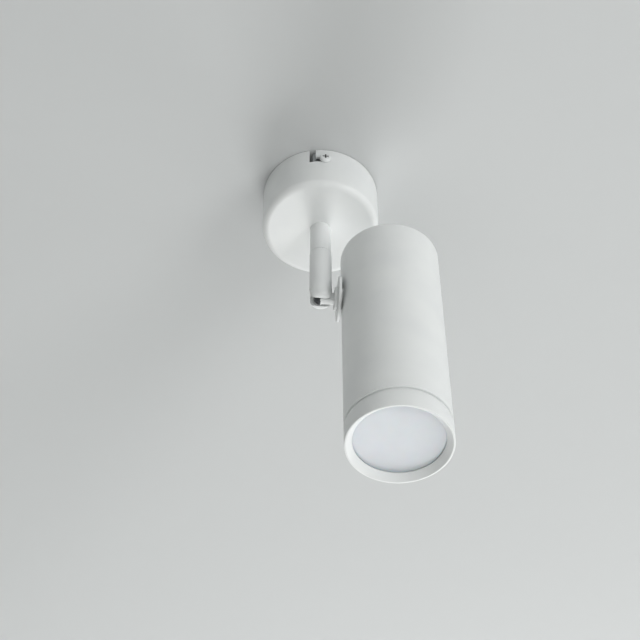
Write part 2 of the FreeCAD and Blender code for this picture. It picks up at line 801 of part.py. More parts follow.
def earth_lug():
    """A ring tongue under the earth screw, with the barrel that is crimped on its wire."""
    place = ("tab_front", "0", "earth_height")
    ring = rod(place, "lug_radius", "lug_gauge", (1, 0, 0))
    neck = block(("tab_front", "-lug_radius - 3", "earth_height - 1.2"), "lug_gauge",
                 "lug_radius + 1", "2.4")
    barrel_centre = "tab_front + crimp_radius + seat_gap"
    barrel_place = (barrel_centre, "-lug_radius - 1", "earth_height")
    barrel = rod(barrel_place, "crimp_radius", "crimp_length", (0, -1, 0))
    bore = rod(barrel_place, "lead_radius + seat_gap", "crimp_length", (0, -1, 0))
    hole = rod(place, "earth_screw_radius + thread_gap", "lug_gauge", (1, 0, 0))
    return keep(carved(joined(ring, neck, barrel), bore, hole), "earth_lug")


# ---------------------------------------------------------------- wires

def lead(name, route, radius):
    """An insulated wire: straight runs between the route's points, joined by tangent arcs.

    Each arc takes 0.45 of the shorter of its two runs, which is as wide as it can bend.
    """
    spots = [FreeCAD.Vector(*[worth(text) for text in point]) for point in route]
    edges, start = [], spots[0]
    for before, corner, after in zip(spots, spots[1:], spots[2:]):
        back, onward = before - corner, after - corner
        reach = 0.45 * min(back.Length, onward.Length)
        bend = reach / math.tan((math.pi - back.getAngle(onward)) / 2)
        arrive, centre, leave = rounded_end(before, corner, after, bend)
        middle = centre + (corner - centre).normalize() * bend
        edges += [Part.LineSegment(start, arrive).toShape(),
                  Part.Arc(arrive, middle, leave).toShape()]
        start = leave
        print(f"{name}: bend radius {bend:.1f} mm")
    edges.append(Part.LineSegment(start, spots[-1]).toShape())
    section = Part.Wire(Part.Circle(spots[0], spots[1] - spots[0], worth(radius)).toShape())
    thing = doc.addObject("Part::Feature", name)
    thing.Shape = Part.Wire(edges).makePipeShell([section], True, False)
    thing.Placement = FreeCAD.Placement()
    return thing


def canopy_leads():
    """Live, neutral and earth, from the terminal block to the stem and to the earth lug."""
    inside, mouth = "block_middle", "block_start - 2.5"
    crest, dip, foot = "nipple_top + 13.5", "nipple_top + 4", "spigot_end"
    keep(lead("live_wire", [
        (inside, "pole_pitch", "wire_centre"), (mouth, "pole_pitch", "wire_centre"),
        ("block_start - 4.5", "pole_pitch - 2", "nipple_top + 9.5"),
        ("1", "lead_half_pitch + 0.8", crest), ("0", "lead_half_pitch", dip),
        ("0", "lead_half_pitch", foot),
    ], "lead_radius"), "live_lead")
    keep(lead("neutral_wire", [
        (inside, "0", "wire_centre"), (mouth, "0", "wire_centre"),
        ("block_start - 3", "-0.4", "nipple_top + 10.5"),
        ("0.5", "-lead_half_pitch", crest), ("0", "-lead_half_pitch", dip),
        ("0", "-lead_half_pitch", foot),
    ], "lead_radius"), "neutral_lead")
    barrel = "tab_front + crimp_radius + seat_gap"
    keep(lead("earth_wire", [
        (inside, "-pole_pitch", "wire_centre"), (mouth, "-pole_pitch", "wire_centre"),
        ("1", "-pole_pitch - 6", "earth_height + 1.5"),
        ("-7", "-pole_pitch - 11", "earth_height + 1.5"),
        (barrel, "-lug_radius - 13", "earth_height"),
        (barrel, "-lug_radius - 2", "earth_height"),
    ], "lead_radius"), "earth_lead")


def stem_leads():
    """The pair of wires down the lower stem, stepped sideways to clear the tilt screw."""
    pair = []
    for side in ("", "-"):
        pair.append(lead("stem_wire", [
            ("0", f"{side}lead_half_pitch", "swivel_bore_end"),
            ("0", f"{side}lead_half_pitch", "swivel_bore_end - 6"),
            ("wire_drop", f"{side}1", "slot_root + 6"), ("wire_drop", f"{side}1", "slot_root"),
        ], "thin_lead_radius"))
    return keep(group(*pair), "stem_leads")


def head_leads():
    """The pair of wires through the arm and down to the lampholder."""
    pair = []
    for side in ("", "-"):
        pair.append(lead("head_wire", [
            ("wire_drop", f"{side}1", "pivot_level + arm_height / 2"),
            ("wire_drop", f"{side}1", "pivot_level"),
            ("arm_thread_end + 5", f"{side}1", "pivot_level"),
            ("head_axis - 4", f"{side}6", "pivot_level - 8"),
            ("head_axis", f"{side}lead_hole_offset", "pivot_level - 22"),
            ("head_axis", f"{side}lead_hole_offset", "holder_top - lead_hole_depth"),
        ], "thin_lead_radius"))
    return keep(group(*pair), "head_leads")


# ---------------------------------------------------------------- lower stem and tilt joint

def lower_stem():
    """A bored tube that turns on the spigot, with a fork milled into its lower end."""
    radius = "lower_stem_radius"
    body = turned("lower_stem_body", [
        ("swivel_bore", "seam_foot"), (f"{radius} - edge_break", "seam_foot"),
        (radius, "seam_foot - edge_break"), (radius, "stem_end", "edge_break"),
        ("0", "stem_end"), ("0", "swivel_bore_end"), ("swivel_bore", "swivel_bore_end"),
    ])
    fork = new_sketch(body, "YZ")
    rectangle(fork, "-slot_face", "stem_end - 1", "slot_face", "slot_root")
    pocket(body, fork, f"{radius} * 3", "Symmetric")
    wires = new_sketch(body, "XY", "swivel_bore_end + 1")
    long_hole(wires, "wire_exit / 2", "0", "wire_exit / 2", "wire_cavity_radius", "x")
    pocket(body, wires, "swivel_bore_end + 2 - slot_root")
    grub = new_sketch(body, "XZ")
    circle(grub, "0", "groove_level", "grub_radius + thread_gap")
    pocket(body, grub, f"{radius} + 1")
    blind = new_sketch(body, "XZ", "slot_face + pivot_blind")
    circle(blind, "0", "pivot_level", "pivot_radius + thread_gap")
    pocket(body, blind, "pivot_blind + 1")
    through = new_sketch(body, "XZ")
    circle(through, "0", "pivot_level", "pivot_radius + hole_gap")
    pocket(body, through, f"{radius} + 1")
    sunk = new_sketch(body, "XZ", "-pivot_head_seat")
    circle(sunk, "0", "pivot_level", "pivot_head_radius + hole_gap")
    pocket(body, sunk, radius)
    return keep(body, "lower_stem")


def key_hole(screw, face):
    """A hexagonal key socket in the face of a screw that lies along Y."""
    socket = new_sketch(screw, "XZ", f"-({face})")
    hexagon(socket, "hex_key_radius * 2")
    pocket(screw, socket, "hex_key_depth", back=True)


def pan_grub_screw():
    """A dog-point grub screw whose tip runs in the spigot's groove and holds the stem up."""
    face = "lower_stem_radius - grub_sink"
    screw = turned("grub_body", [
        ("groove_radius + seat_gap", "0"), ("groove_radius + seat_gap", "grub_tip_radius"),
        ("grub_seat", "grub_tip_radius"), ("grub_seat", "grub_radius"),
        (face, "grub_radius"), (face, "0"),
    ], ("0", "0", "groove_level"), "Y")
    key_hole(screw, face)
    return keep(screw, "pan_grub_screw")


def pivot_screw():
    """The tilt axis: a cap screw sunk in the far cheek and threaded into the near one."""
    seat, tip = "pivot_head_seat", "-slot_face - pivot_blind + seat_gap"
    face = f"{seat} + pivot_head_height"
    screw = turned("pivot_body", [
        (tip, "0"), (tip, "pivot_radius"), (seat, "pivot_radius"), (seat, "pivot_head_radius"),
        (face, "pivot_head_radius", "edge_break"), (face, "0"),
    ], ("0", "0", "pivot_level"), "Y")
    key_hole(screw, face)
    return keep(screw, "pivot_screw")


def pivot_washers():
    """Two thin friction washers, one against each cheek of the fork."""
    inner = "slot_face - pivot_washer_gauge"
    washer = turned("pivot_washer_body", [
        (inner, "pivot_radius + hole_gap"), (inner, "pivot_washer_radius"),
        ("slot_face", "pivot_washer_radius"), ("slot_face", "pivot_radius + hole_gap"),
    ], ("0", "0", "pivot_level"), "Y")
    return keep(group(washer, mirrored(washer, (0, 1, 0))), "pivot_washers")


# ---------------------------------------------------------------- arm and its fixing

def arm():
    """A cast arm: a round eye in the fork, a bar, a collar and a hollow threaded stud."""
    body = new_body("arm_body", ("0", "0", "pivot_level"))
    eye = new_sketch(body, "XZ")
    circle(eye, "0", "0", "eye_radius")
    pad(body, eye, "arm_thickness", "Symmetric")
    bar = new_sketch(body, "YZ")
    side, top, soft = "arm_thickness / 2", "arm_height / 2", "arm_edge_round"
    outline(bar, [(f"-{side}", f"-{top}", soft), (side, f"-{top}", soft),
                  (side, top, soft), (f"-{side}", top, soft)])
    pad(body, bar, "collar_front + edge_break")
    collar = new_sketch(body, "XZ")
    outline(collar, [
        ("collar_front", "0"), ("collar_front", "collar_radius", "edge_break * 2"),
        ("disc_front", "collar_radius", "edge_break"), ("disc_front", "arm_thread_radius"),
        ("arm_thread_end", "arm_thread_radius"), ("arm_thread_end", "0"),
    ])
    turn(body, collar, "H_Axis")
    pivot = new_sketch(body, "XZ")
    circle(pivot, "0", "0", "pivot_radius + bearing_gap")
    pocket(body, pivot, "arm_thickness * 2", "Symmetric")
    bore = new_sketch(body, "YZ", "wire_exit")
    circle(bore, "0", "0", "arm_bore")
    pocket(body, bore, "arm_thread_end", back=True)
    way_in = new_sketch(body, "XY", "arm_height")
    rectangle(way_in, "wire_exit", "-arm_bore", "wire_drop + 1.6", "arm_bore")
    pocket(body, way_in, "arm_height")
    return keep(body, "arm")


def side_disc():
    """A round flange between the arm's collar and the head, with a boss cut to fit the tube."""
    hole, edge = "arm_thread_radius + hole_gap", "edge_break"
    end = "arm_reach + disc_gauge"
    body = turned("side_disc_body", [
        ("disc_front", hole), ("disc_front", "disc_radius", edge),
        ("disc_back", "disc_radius", edge), ("disc_back", "disc_boss_radius"),
        (end, "disc_boss_radius"), (end, hole),
    ], ("0", "0", "pivot_level"), "X")
    seat = new_sketch(body, "XY")
    circle(seat, "head_axis", "0", "head_radius + seat_gap")
    pocket(body, seat, "disc_radius * 3", "Symmetric")
    return keep(body, "side_disc")


def saddle_washer():
    """A washer inside the tube, round on the tube's side and flat on the nut's side."""
    start = ("arm_reach", "0", "pivot_level")
    length = "saddle_back - arm_reach"
    inside = rod(("head_axis", "0", "pivot_level - saddle_radius"), "head_bore - seat_gap",
                 "saddle_radius * 2")
    washer = shared(rod(start, "saddle_radius", length, (1, 0, 0)), inside)
    hole = rod(start, "arm_thread_radius + hole_gap", length, (1, 0, 0))
    return keep(carved(washer, hole), "saddle_washer")


def arm_nut():
    body = new_body("arm_nut_body", ("0", "0", "pivot_level"))
    sketch = new_sketch(body, "YZ", "strip_back")
    hexagon(sketch, "arm_nut_flats")
    circle(sketch, "0", "0", "arm_thread_radius + thread_gap")
    pad(body, sketch, "arm_nut_height")
    return keep(body, "arm_nut")


def lampholder_bracket():
    """A bent strip, clamped under the arm's nut, that carries the lampholder on the axis."""
    body = new_body("holder_strip_body")
    gauge = "holder_strip_gauge"
    far = "head_axis + holder_strip_reach"
    crown = "pivot_level + holder_strip_top"
    profile = new_sketch(body, "XZ")
    outline(profile, [
        ("saddle_back", crown), ("saddle_back", "holder_top", f"{gauge} * 2"),
        (far, "holder_top"), (far, "strip_top"), ("strip_back", "strip_top", gauge),
        ("strip_back", crown),
    ])
    pad(body, profile, "holder_strip_width", "Symmetric")
    stud = new_sketch(body, "YZ", "strip_back + 1")
    circle(stud, "0", "pivot_level", "arm_thread_radius + hole_gap")
    pocket(body, stud, f"{gauge} + 2")
    screws = new_sketch(body, "XY", "strip_top + 1")
    for sign in "+-":
        circle(screws, f"head_axis {sign} holder_screw_offset", "0",
               "holder_screw_radius + hole_gap")
    pocket(body, screws, f"{gauge} + 2")
    return keep(body, "lampholder_bracket")


# ---------------------------------------------------------------- head shell

def head_tube():
    """The head's long tube, drilled on one side for the arm's stud."""
    edge = "edge_break"
    body = turned("head_tube_body", [
        ("head_bore", "tube_end"), ("head_radius", "tube_end", edge),
        ("head_radius", "head_top", edge), ("head_bore", "head_top"),
    ], ("head_axis", "0", "0"))
    hole = new_sketch(body, "YZ")
    circle(hole, "0", "pivot_level", "arm_thread_radius + hole_gap")
    pocket(body, hole, "head_radius + 1")
    return keep(body, "head_tube")


def rear_cap():
    """A pressed cap with a skirt, set a little way inside the tube's upper end."""
    radius, top = "head_bore - seat_gap", "head_top - cap_inset"
    inner, roof, foot = f"{radius} - cap_gauge", f"{top} - cap_gauge", f"{top} - cap_skirt"
    return keep(turned("rear_cap_body", [
        ("0", roof), (inner, roof, "cap_gauge / 2"), (inner, foot), (radius, foot),
        (radius, top, "cap_gauge"), ("0", top),
    ], ("head_axis", "0", "0")), "rear_cap")


def front_ring():
    """The bezel: a short band, a coned mouth, a lip under the lamp and a neck in the tube."""
    edge = "edge_break / 2"
    return keep(turned("front_ring_body", [
        ("head_radius - ring_rim", "head_front", edge), ("head_radius", "head_front", edge),
        ("head_radius", "ring_top", edge), ("neck_radius", "ring_top"),
        ("neck_radius", "neck_top"), ("neck_bore", "neck_top"), ("neck_bore", "lip_back"),
        ("lip_radius", "lip_back"), ("lip_radius", "lip_back - ring_lip"),
    ], ("head_axis", "0", "0")), "front_ring")


# ---------------------------------------------------------------- lampholder

def curved_slot(half_width, low, height, side):
    """A slot about the head's axis, from a locked pin's place back to the entry hole."""
    outer = rod(("head_axis", "0", low), f"pin_offset + {half_width}", height)
    inner = rod(("head_axis", "0", low), f"pin_offset - ({half_width})", height)
    tie(outer, "Angle", "lamp_turn")
    first = f"(90 - lamp_turn + {side}) * 1 deg"
    tie(outer, "Placement.Rotation.Angle", first)
    ends = []
    for angle in (f"({90 + side} deg)", first):
        place = (f"head_axis + pin_offset * cos({angle})", f"pin_offset * sin({angle})", low)
        ends.append(rod(place, half_width, height))
    return joined(carved(outer, inner), *ends), ends[1]


def lampholder():
    """A ceramic twist-lock holder: narrow curved slots open into wider chambers behind."""
    base = turned("holder_body", [
        ("0", "holder_mouth"), ("holder_radius", "holder_mouth", "1"),
        ("holder_radius", "holder_top", "1"), ("0", "holder_top"),
    ], ("head_axis", "0", "0"))
    wide = "pin_head_radius + running_gap"
    cuts = []
    for side in (0, 180):
        throat, _ = curved_slot("pin_neck_radius + running_gap", "holder_mouth - 1",
                                "holder_face + 2", side)
        chamber, _ = curved_slot(wide, "chamber_floor", "chamber_top - chamber_floor", side)
        angle = f"((90 - lamp_turn + {side}) * 1 deg)"
        entry = rod((f"head_axis + pin_offset * cos({angle})", f"pin_offset * sin({angle})",
                     "holder_mouth - 1"), wide, "holder_face + 2")
        cuts += [throat, chamber, entry]
    for sign in "+-":
        depth = "holder_screw_length"
        cuts.append(rod((f"head_axis {sign} holder_screw_offset", "0", f"holder_top - {depth}"),
                        "holder_screw_radius + thread_gap", f"{depth} + 1"))
        cuts.append(rod(("head_axis", f"{sign}lead_hole_offset", "holder_top - lead_hole_depth"),
                        "thin_lead_radius + seat_gap", "lead_hole_depth + 1"))
    return keep(carved(base, *cuts), "lampholder")


def holder_contacts():
    """Two brass plates in the roofs of the chambers, above the lamp's pins."""
    half, plates = "contact_half_width", []
    for sign in "+-":
        plates.append(block((f"head_axis - {half}", f"{sign}pin_offset - {half}",
                             "chamber_top - contact_gauge"),
                            f"{half} * 2", f"{half} * 2", "contact_gauge"))
    return keep(group(*plates), "holder_contacts")


def holder_screws():
    screws = []
    for sign in "+-":
        x = f"head_axis {sign} holder_screw_offset"
        foot = "strip_top - holder_screw_length"
        shank = rod((x, "0", foot), "holder_screw_radius", "holder_screw_length")
        head = rod((x, "0", "strip_top"), "holder_head_radius", "holder_head_height")
        slot = block((f"{x} - holder_head_radius", "-0.35", "strip_top + holder_head_height - 1"),
                     "holder_head_radius * 2", "0.7", "1.1")
        screws.append(carved(joined(shank, head), slot))
    return keep(group(*screws), "holder_screws")


# ---------------------------------------------------------------- lamp

def lamp_body():
    """The reflector-shaped shell of the lamp, with a step for the diffuser."""
    ledge = "lamp_front + diffuser_gauge"
    return keep(turned("lamp_shell_body", [
        ("diffuser_radius", "lamp_front"), ("lamp_radius", "lamp_front", "edge_break"),
        ("lamp_radius", "rim_top", "lamp_wall * 5"), ("lamp_neck_radius", "body_top", "1"),
        ("plug_radius + seat_gap", "body_top"), ("plug_radius + seat_gap", "body_ceiling"),
        ("lamp_neck_radius - lamp_wall", "body_ceiling"),
        ("body_bore", "rim_top", "lamp_wall * 4"), ("body_bore", ledge),
        ("diffuser_radius", ledge),
    ], ("head_axis", "0", "0")), "lamp_body")


def lamp_base():
    """The moulded base: a plug in the shell, hollow for the driver, and a thick pin wall."""
    wall = "lamp_shoulder - pin_root_length"
    foot = "body_top - lamp_plug_length"
    body = turned("lamp_base_body", [
        ("plug_bore", foot), ("plug_radius", foot), ("plug_radius", "body_top"),
        ("lamp_base_radius", "body_top"), ("lamp_base_radius", "lamp_shoulder", "edge_break * 3"),
        ("0", "lamp_shoulder"), ("0", wall), ("plug_bore", wall),
    ], ("head_axis", "0", "0"))
    holes = new_sketch(body, "XY", "lamp_shoulder")
    for sign in "+-":
        circle(holes, "0", f"{sign}pin_offset", "pin_neck_radius + seat_gap")
    pocket(body, holes, "pin_root_length + 1")
    return keep(body, "lamp_base")


def lamp_pins():
    """Two necked contact pins that hook behind the holder's slots when the lamp is turned."""
    pin = turned("pin_body", [
        ("0", "lamp_shoulder - pin_root_length"),
        ("pin_neck_radius", "lamp_shoulder - pin_root_length"),
        ("pin_neck_radius", "pin_neck_top"), ("pin_head_radius", "pin_neck_top"),
        ("pin_head_radius", "pin_top", "edge_break * 2"), ("0", "pin_top"),
    ], ("head_axis", "pin_offset", "0"))
    return keep(group(pin, mirrored(pin, (0, 1, 0))), "lamp_pins")


def lamp_diffuser():
    radius, back = "diffuser_radius - seat_gap", "lamp_front + diffuser_gauge"
    return keep(turned("diffuser_body", [
        ("0", "lamp_front"), (radius, "lamp_front"), (radius, back), ("0", back),
    ], ("head_axis", "0", "0")), "lamp_diffuser")


def led_board():
    """A round board across the shell, with a ring of square emitters on its underside."""
    body = new_body("led_board_body", ("head_axis", "0", "led_board_top - led_board_gauge"))
    board = new_sketch(body, "XY")
    circle(board, "0", "0", "led_board_radius")
    pad(body, board, "led_board_gauge")
    chip = new_sketch(body, "XY")
    half = "led_size / 2"
    rectangle(chip, f"led_ring_radius - {half}", f"-{half}", f"led_ring_radius + {half}", half)
    chip_pad = pad(body, chip, "led_size / 4", back=True)
    around(body, [chip_pad], 8)
    return keep(body, "led_board")


def driver_board():
    """The power supply's board, standing in the lamp's neck, with its round capacitor."""
    low = "led_board_top + hole_gap"
    board = block(("head_axis - driver_gauge / 2", "-driver_width / 2", low), "driver_gauge",
                  "driver_width", "driver_length")
    can = rod(("head_axis + driver_gauge / 2 + capacitor_radius * 0.9", "0", f"{low} + 3"),
              "capacitor_radius", "capacitor_length")
    return keep(joined(board, can), "driver_board")


# ---------------------------------------------------------------- build, check and write

for build in (
    mounting_bracket, bracket_side_screws, canopy_cup, upper_stem, swivel_washer,
    stem_lock_washer, stem_locknut, terminal_carrier, terminal_block, terminal_sleeves,
    terminal_clamp_screws, terminal_block_screw, earth_screw, earth_lug, canopy_leads,
    lower_stem, pan_grub_screw, pivot_screw, pivot_washers, stem_leads,
    arm, side_disc, saddle_washer, arm_nut, lampholder_bracket, head_tube, rear_cap,
    lampholder, holder_contacts, holder_screws, head_leads, front_ring,
    lamp_body, lamp_base, lamp_pins, lamp_diffuser, led_board, driver_board,
):
    build()
doc.recompute()

for thing in doc.Objects:
    faults = {"Invalid", "Error"} & set(thing.State)
    assert not faults, f"{thing.Name} ({thing.Label}) is {faults}"

os.makedirs("parts", exist_ok=True)
for label, thing in nodes.items():
    shape = thing.Shape
    assert not shape.isNull() and shape.isValid() and shape.Solids, label + " has no sound shape"
    shape.exportStep(f"parts/{label}.step")
    box = shape.BoundBox
    print(f"{label}: {len(shape.Solids)} solid(s), {shape.Volume:.1f} mm3, "
          f"x {box.XMin:.2f} {box.XMax:.2f}, y {box.YMin:.2f} {box.YMax:.2f}, "
          f"z {box.ZMin:.2f} {box.ZMax:.2f}")
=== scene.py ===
# %% [markdown]
# # A white ceiling spotlight
# The fixed shapes of this lamp come from a CAD model: canopy, swivel stem, tilting arm,
# tube, lampholder and lamp. This file dresses them. It gives every part the surface of
# its real material, and makes again, as smooth surfaces, the forms that the light picks
# out: the turned front ring, the lamp's frosted lens, the arm with its round eye, the
# lower stem with its fork, and the washers of both swivels. Everything is in metres, and
# stays where the CAD model says.

# %% Load the model and keep its box
import json

import bpy
import numpy as np
from mathutils import Matrix, Vector


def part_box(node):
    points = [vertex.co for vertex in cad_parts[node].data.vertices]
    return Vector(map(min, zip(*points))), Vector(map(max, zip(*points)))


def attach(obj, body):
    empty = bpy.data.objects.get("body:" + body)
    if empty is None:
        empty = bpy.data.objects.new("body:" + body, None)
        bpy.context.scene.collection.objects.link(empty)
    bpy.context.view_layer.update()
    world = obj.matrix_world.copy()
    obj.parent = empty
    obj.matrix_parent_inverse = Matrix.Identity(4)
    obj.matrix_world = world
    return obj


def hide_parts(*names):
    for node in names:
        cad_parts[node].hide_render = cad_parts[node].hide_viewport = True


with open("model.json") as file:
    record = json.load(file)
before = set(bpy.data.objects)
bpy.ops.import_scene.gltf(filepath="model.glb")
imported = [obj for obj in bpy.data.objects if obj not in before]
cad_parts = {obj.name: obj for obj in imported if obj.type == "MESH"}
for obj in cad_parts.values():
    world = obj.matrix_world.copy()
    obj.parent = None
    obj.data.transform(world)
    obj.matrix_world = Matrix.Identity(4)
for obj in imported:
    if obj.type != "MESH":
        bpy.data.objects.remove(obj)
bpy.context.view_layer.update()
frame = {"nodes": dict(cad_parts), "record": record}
nodes = frame["nodes"]
mm = 0.001

# %% [markdown]
# Sizes are read from the model's own boxes, so that a new piece always fits the part it
# belongs to. A box gives the lowest and the highest corner of a node at rest.

# %% Read the sizes that the new pieces need
ring_low, ring_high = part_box("front_ring")
tube_low, tube_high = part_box("head_tube")
lens_low, lens_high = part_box("lamp_diffuser")
head_radius = (tube_high.x - tube_low.x) / 2
head_axis = (tube_high.x + tube_low.x) / 2
print("head radius mm:", round(head_radius / mm, 2), "axis at x mm:", round(head_axis / mm, 2))

# %% [markdown]
# ## The camera
# The photograph looks up from below the lamp, at about 49 degrees and with a fairly long
# lens. The place, direction and lens were worked out from the outlines of the canopy
# and the head, which are true circles. Long lenses flatten perspective, so an error of a
# degree would show as a shift of the stem against the head.

# %% Place the camera
IMAGE_SIDE = 640
SENSOR = 36.0
focal_pixels = 1500.0
elevation = np.radians(49.23)
turn = np.radians(4.91)
roll = np.radians(-0.14)
eye = Vector((-46.1, -532.0, -732.8)) * mm

forward = Vector((np.sin(turn) * np.cos(elevation), np.cos(turn) * np.cos(elevation),
                  np.sin(elevation)))
level_right = Vector((np.cos(turn), -np.sin(turn), 0.0))
level_up = level_right.cross(forward)
right = level_right * np.cos(roll) + level_up * np.sin(roll)
up = level_up * np.cos(roll) - level_right * np.sin(roll)

camera_data = bpy.data.cameras.new("photo_camera")
camera_data.sensor_width = SENSOR
camera_data.lens = focal_pixels / IMAGE_SIDE * SENSOR
camera_data.clip_start = 0.01
camera_data.clip_end = 50.0
camera = bpy.data.objects.new("photo_camera", camera_data)
bpy.context.scene.collection.objects.link(camera)
camera.matrix_world = Matrix((
    (right.x, up.x, -forward.x, eye.x),
    (right.y, up.y, -forward.y, eye.y),
    (right.z, up.z, -forward.z, eye.z),
    (0, 0, 0, 1),
))
bpy.context.scene.camera = camera
print("lens mm:", round(camera_data.lens, 1))

# %% [markdown]
# ## Colours and nodes
# Colours are written as the hex values that a picture editor shows. Blender works with
# linear light, so one function undoes the sRGB curve. One more function adds a shader
# node, sets its inputs and makes its links, which keeps each material short.

# %% Colour and node helpers
def linear(code):
    """sRGB hex to linear RGBA: divide by 12.92 near black, else ((c + 0.055) / 1.055) ^ 2.4."""
    c = np.array([int(code[i:i + 2], 16) for i in (1, 3, 5)]) / 255.0
    low, high = c / 12.92, ((c + 0.055) / 1.055) ** 2.4
    return (*np.where(c <= 0.04045, low, high).tolist(), 1.0)


def add(tree, kind, inputs=None, **settings):
    """A node of that kind. inputs gives each socket a value or the output that feeds it."""
    node = tree.nodes.new(kind)
    for name, value in settings.items():
        setattr(node, name, value)
    for name, value in (inputs or {}).items():
        if isinstance(value, bpy.types.NodeSocket):
            tree.links.new(value, node.inputs[name])
        else:
            node.inputs[name].default_value = value
    return node


def material(name):
    """An empty node material with its shader, and the object's own coordinates in metres."""
    made = bpy.data.materials.new(name)
    made.use_nodes = True
    tree = made.node_tree
    shader = tree.nodes["Principled BSDF"]
    place = add(tree, "ShaderNodeTexCoord").outputs["Object"]
    return made, tree, shader, place


def per_metre(millimetres):
    """A noise texture's scale for features that are about this many millimetres apart."""
    return 1.0 / (millimetres * mm)


def speckle(tree, place, millimetres, detail=2.0, stretch=(1, 1, 1)):
    """Noise with features of that size, drawn out along an axis where stretch is small."""
    moved = add(tree, "ShaderNodeMapping", {"Vector": place, "Scale": stretch})
    return add(tree, "ShaderNodeTexNoise", {
        "Vector": moved.outputs["Vector"], "Scale": per_metre(millimetres), "Detail": detail,
    }).outputs["Fac"]


def between(tree, factor, first, second):
    """A colour that goes from the first to the second as the factor goes from 0.3 to 0.7."""
    ramp = add(tree, "ShaderNodeValToRGB", {"Fac": factor})
    ramp.color_ramp.elements[0].position = 0.3
    ramp.color_ramp.elements[1].position = 0.7
    ramp.color_ramp.elements[0].color = linear(first)
    ramp.color_ramp.elements[1].color = linear(second)
    return ramp.outputs["Color"]


def shift(tree, factor, low, high):
    """A number that follows the factor, from low at 0 to high at 1."""
    return add(tree, "ShaderNodeMapRange", {
        "Value": factor, "To Min": low, "To Max": high,
    }).outputs["Result"]


def relief(tree, shader, height, depth_mm, strength=1.0):
    """Small hills of that depth, shown by bending the light and not the surface."""
    bump = add(tree, "ShaderNodeBump", {
        "Height": height, "Distance": depth_mm * mm, "Strength": strength,
    })
    tree.links.new(bump.outputs["Normal"], shader.inputs["Normal"])


print("white in linear light:", [round(c, 3) for c in linear("#E6E6E3")[:3]])

# %% [markdown]
# ## White powder coat
# The canopy, stem, arm and head are sprayed with dry powder and baked. The powder melts
# into a satin film with a faint orange-peel waviness about a millimetre across, and even
# colour. The real waves are about 0.7 mm apart. They are drawn 1.4 mm apart here, because
# finer ones vanish between the pixels. The steel parts and the aluminium tube share the
# film, but the film lies a little smoother on the drawn aluminium.

# %% Powder coat on steel and on aluminium
def powder_coat(name, wave_mm, roughness):
    made, tree, shader, place = material(name)
    clouds = speckle(tree, place, 22.0)
    peel = speckle(tree, place, wave_mm, detail=1.5)
    tree.links.new(between(tree, clouds, "#E5E7E7", "#EAECEB"), shader.inputs["Base Color"])
    tree.links.new(shift(tree, peel, roughness - 0.05, roughness + 0.05),
                   shader.inputs["Roughness"])
    shader.inputs["IOR"].default_value = 1.5
    relief(tree, shader, peel, 0.012, 0.5)
    return made


powder_on_steel = powder_coat("powder_coat_on_steel", 1.4, 0.42)
powder_on_aluminium = powder_coat("powder_coat_on_aluminium", 1.7, 0.38)
print("powder coat:", powder_on_steel.name, powder_on_aluminium.name)

# %% [markdown]
# ## Plated steel, brass and tin
# The hidden strap, washers and nuts are zinc-plated pressings: grey, with fine rolling
# marks along the sheet. The screws that show are nickel-plated and brighter. Terminals
# are plain brass. All are metals, so their colour sits in the reflection, and what makes
# them look like metal is streaked roughness.

# %% Metals
def plated(name, dark, light, roughness, stretch):
    made, tree, shader, place = material(name)
    streaks = speckle(tree, place, 0.9, detail=4.0, stretch=stretch)
    tree.links.new(between(tree, streaks, dark, light), shader.inputs["Base Color"])
    tree.links.new(shift(tree, streaks, roughness - 0.08, roughness + 0.08),
                   shader.inputs["Roughness"])
    shader.inputs["Metallic"].default_value = 1.0
    relief(tree, shader, streaks, 0.01, 0.4)
    return made


# Dark metal for the arm eye's end: painted shade for the fork's slot.
eye_painted_shade = plated("eye_dark_metal_painted_shade", "#4E5052", "#5E6062", 0.45, (1.0, 1.0, 1.0))
zinc = plated("zinc_plated_steel", "#A9ACAE", "#C2C4C5", 0.38, (1.0, 0.08, 1.0))
nickel = plated("nickel_plated_steel", "#BDBAB2", "#D3D1CB", 0.30, (1.0, 1.0, 1.0))
brass = plated("plain_brass", "#B8923F", "#D6B45F", 0.30, (0.3, 1.0, 1.0))
tinned = plated("tinned_copper", "#B5B3AE", "#CFCDC9", 0.34, (1.0, 1.0, 0.3))
print("metals:", zinc.name, nickel.name, brass.name, tinned.name)

# %% [markdown]
# The two screws in the canopy's side are painted with it. Their cross recess is coloured
# dark: painted shade for the deep, narrow recess. The cross's arms run up and along, 0.9 mm
# wide and 3.6 mm long, so a point's distances from their middle lines and from the screw's
# axis tell whether it lies in the cross. The shank is bare dark steel; it lies within
# 1.95 mm of the axis and below the head.

# %% Painted screw heads
screw_low, screw_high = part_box("bracket_side_screws")
screw_level = (screw_low.z + screw_high.z) / 2
shank_reach = 1.95 * mm
cross_reach = 1.8 * mm
cross_half_width = 0.45 * mm
bare_below = screw_high.y - 0.2 * mm


def compare(tree, first, second, operation):
    return add(tree, "ShaderNodeMath", {0: first, 1: second}, operation=operation).outputs[0]


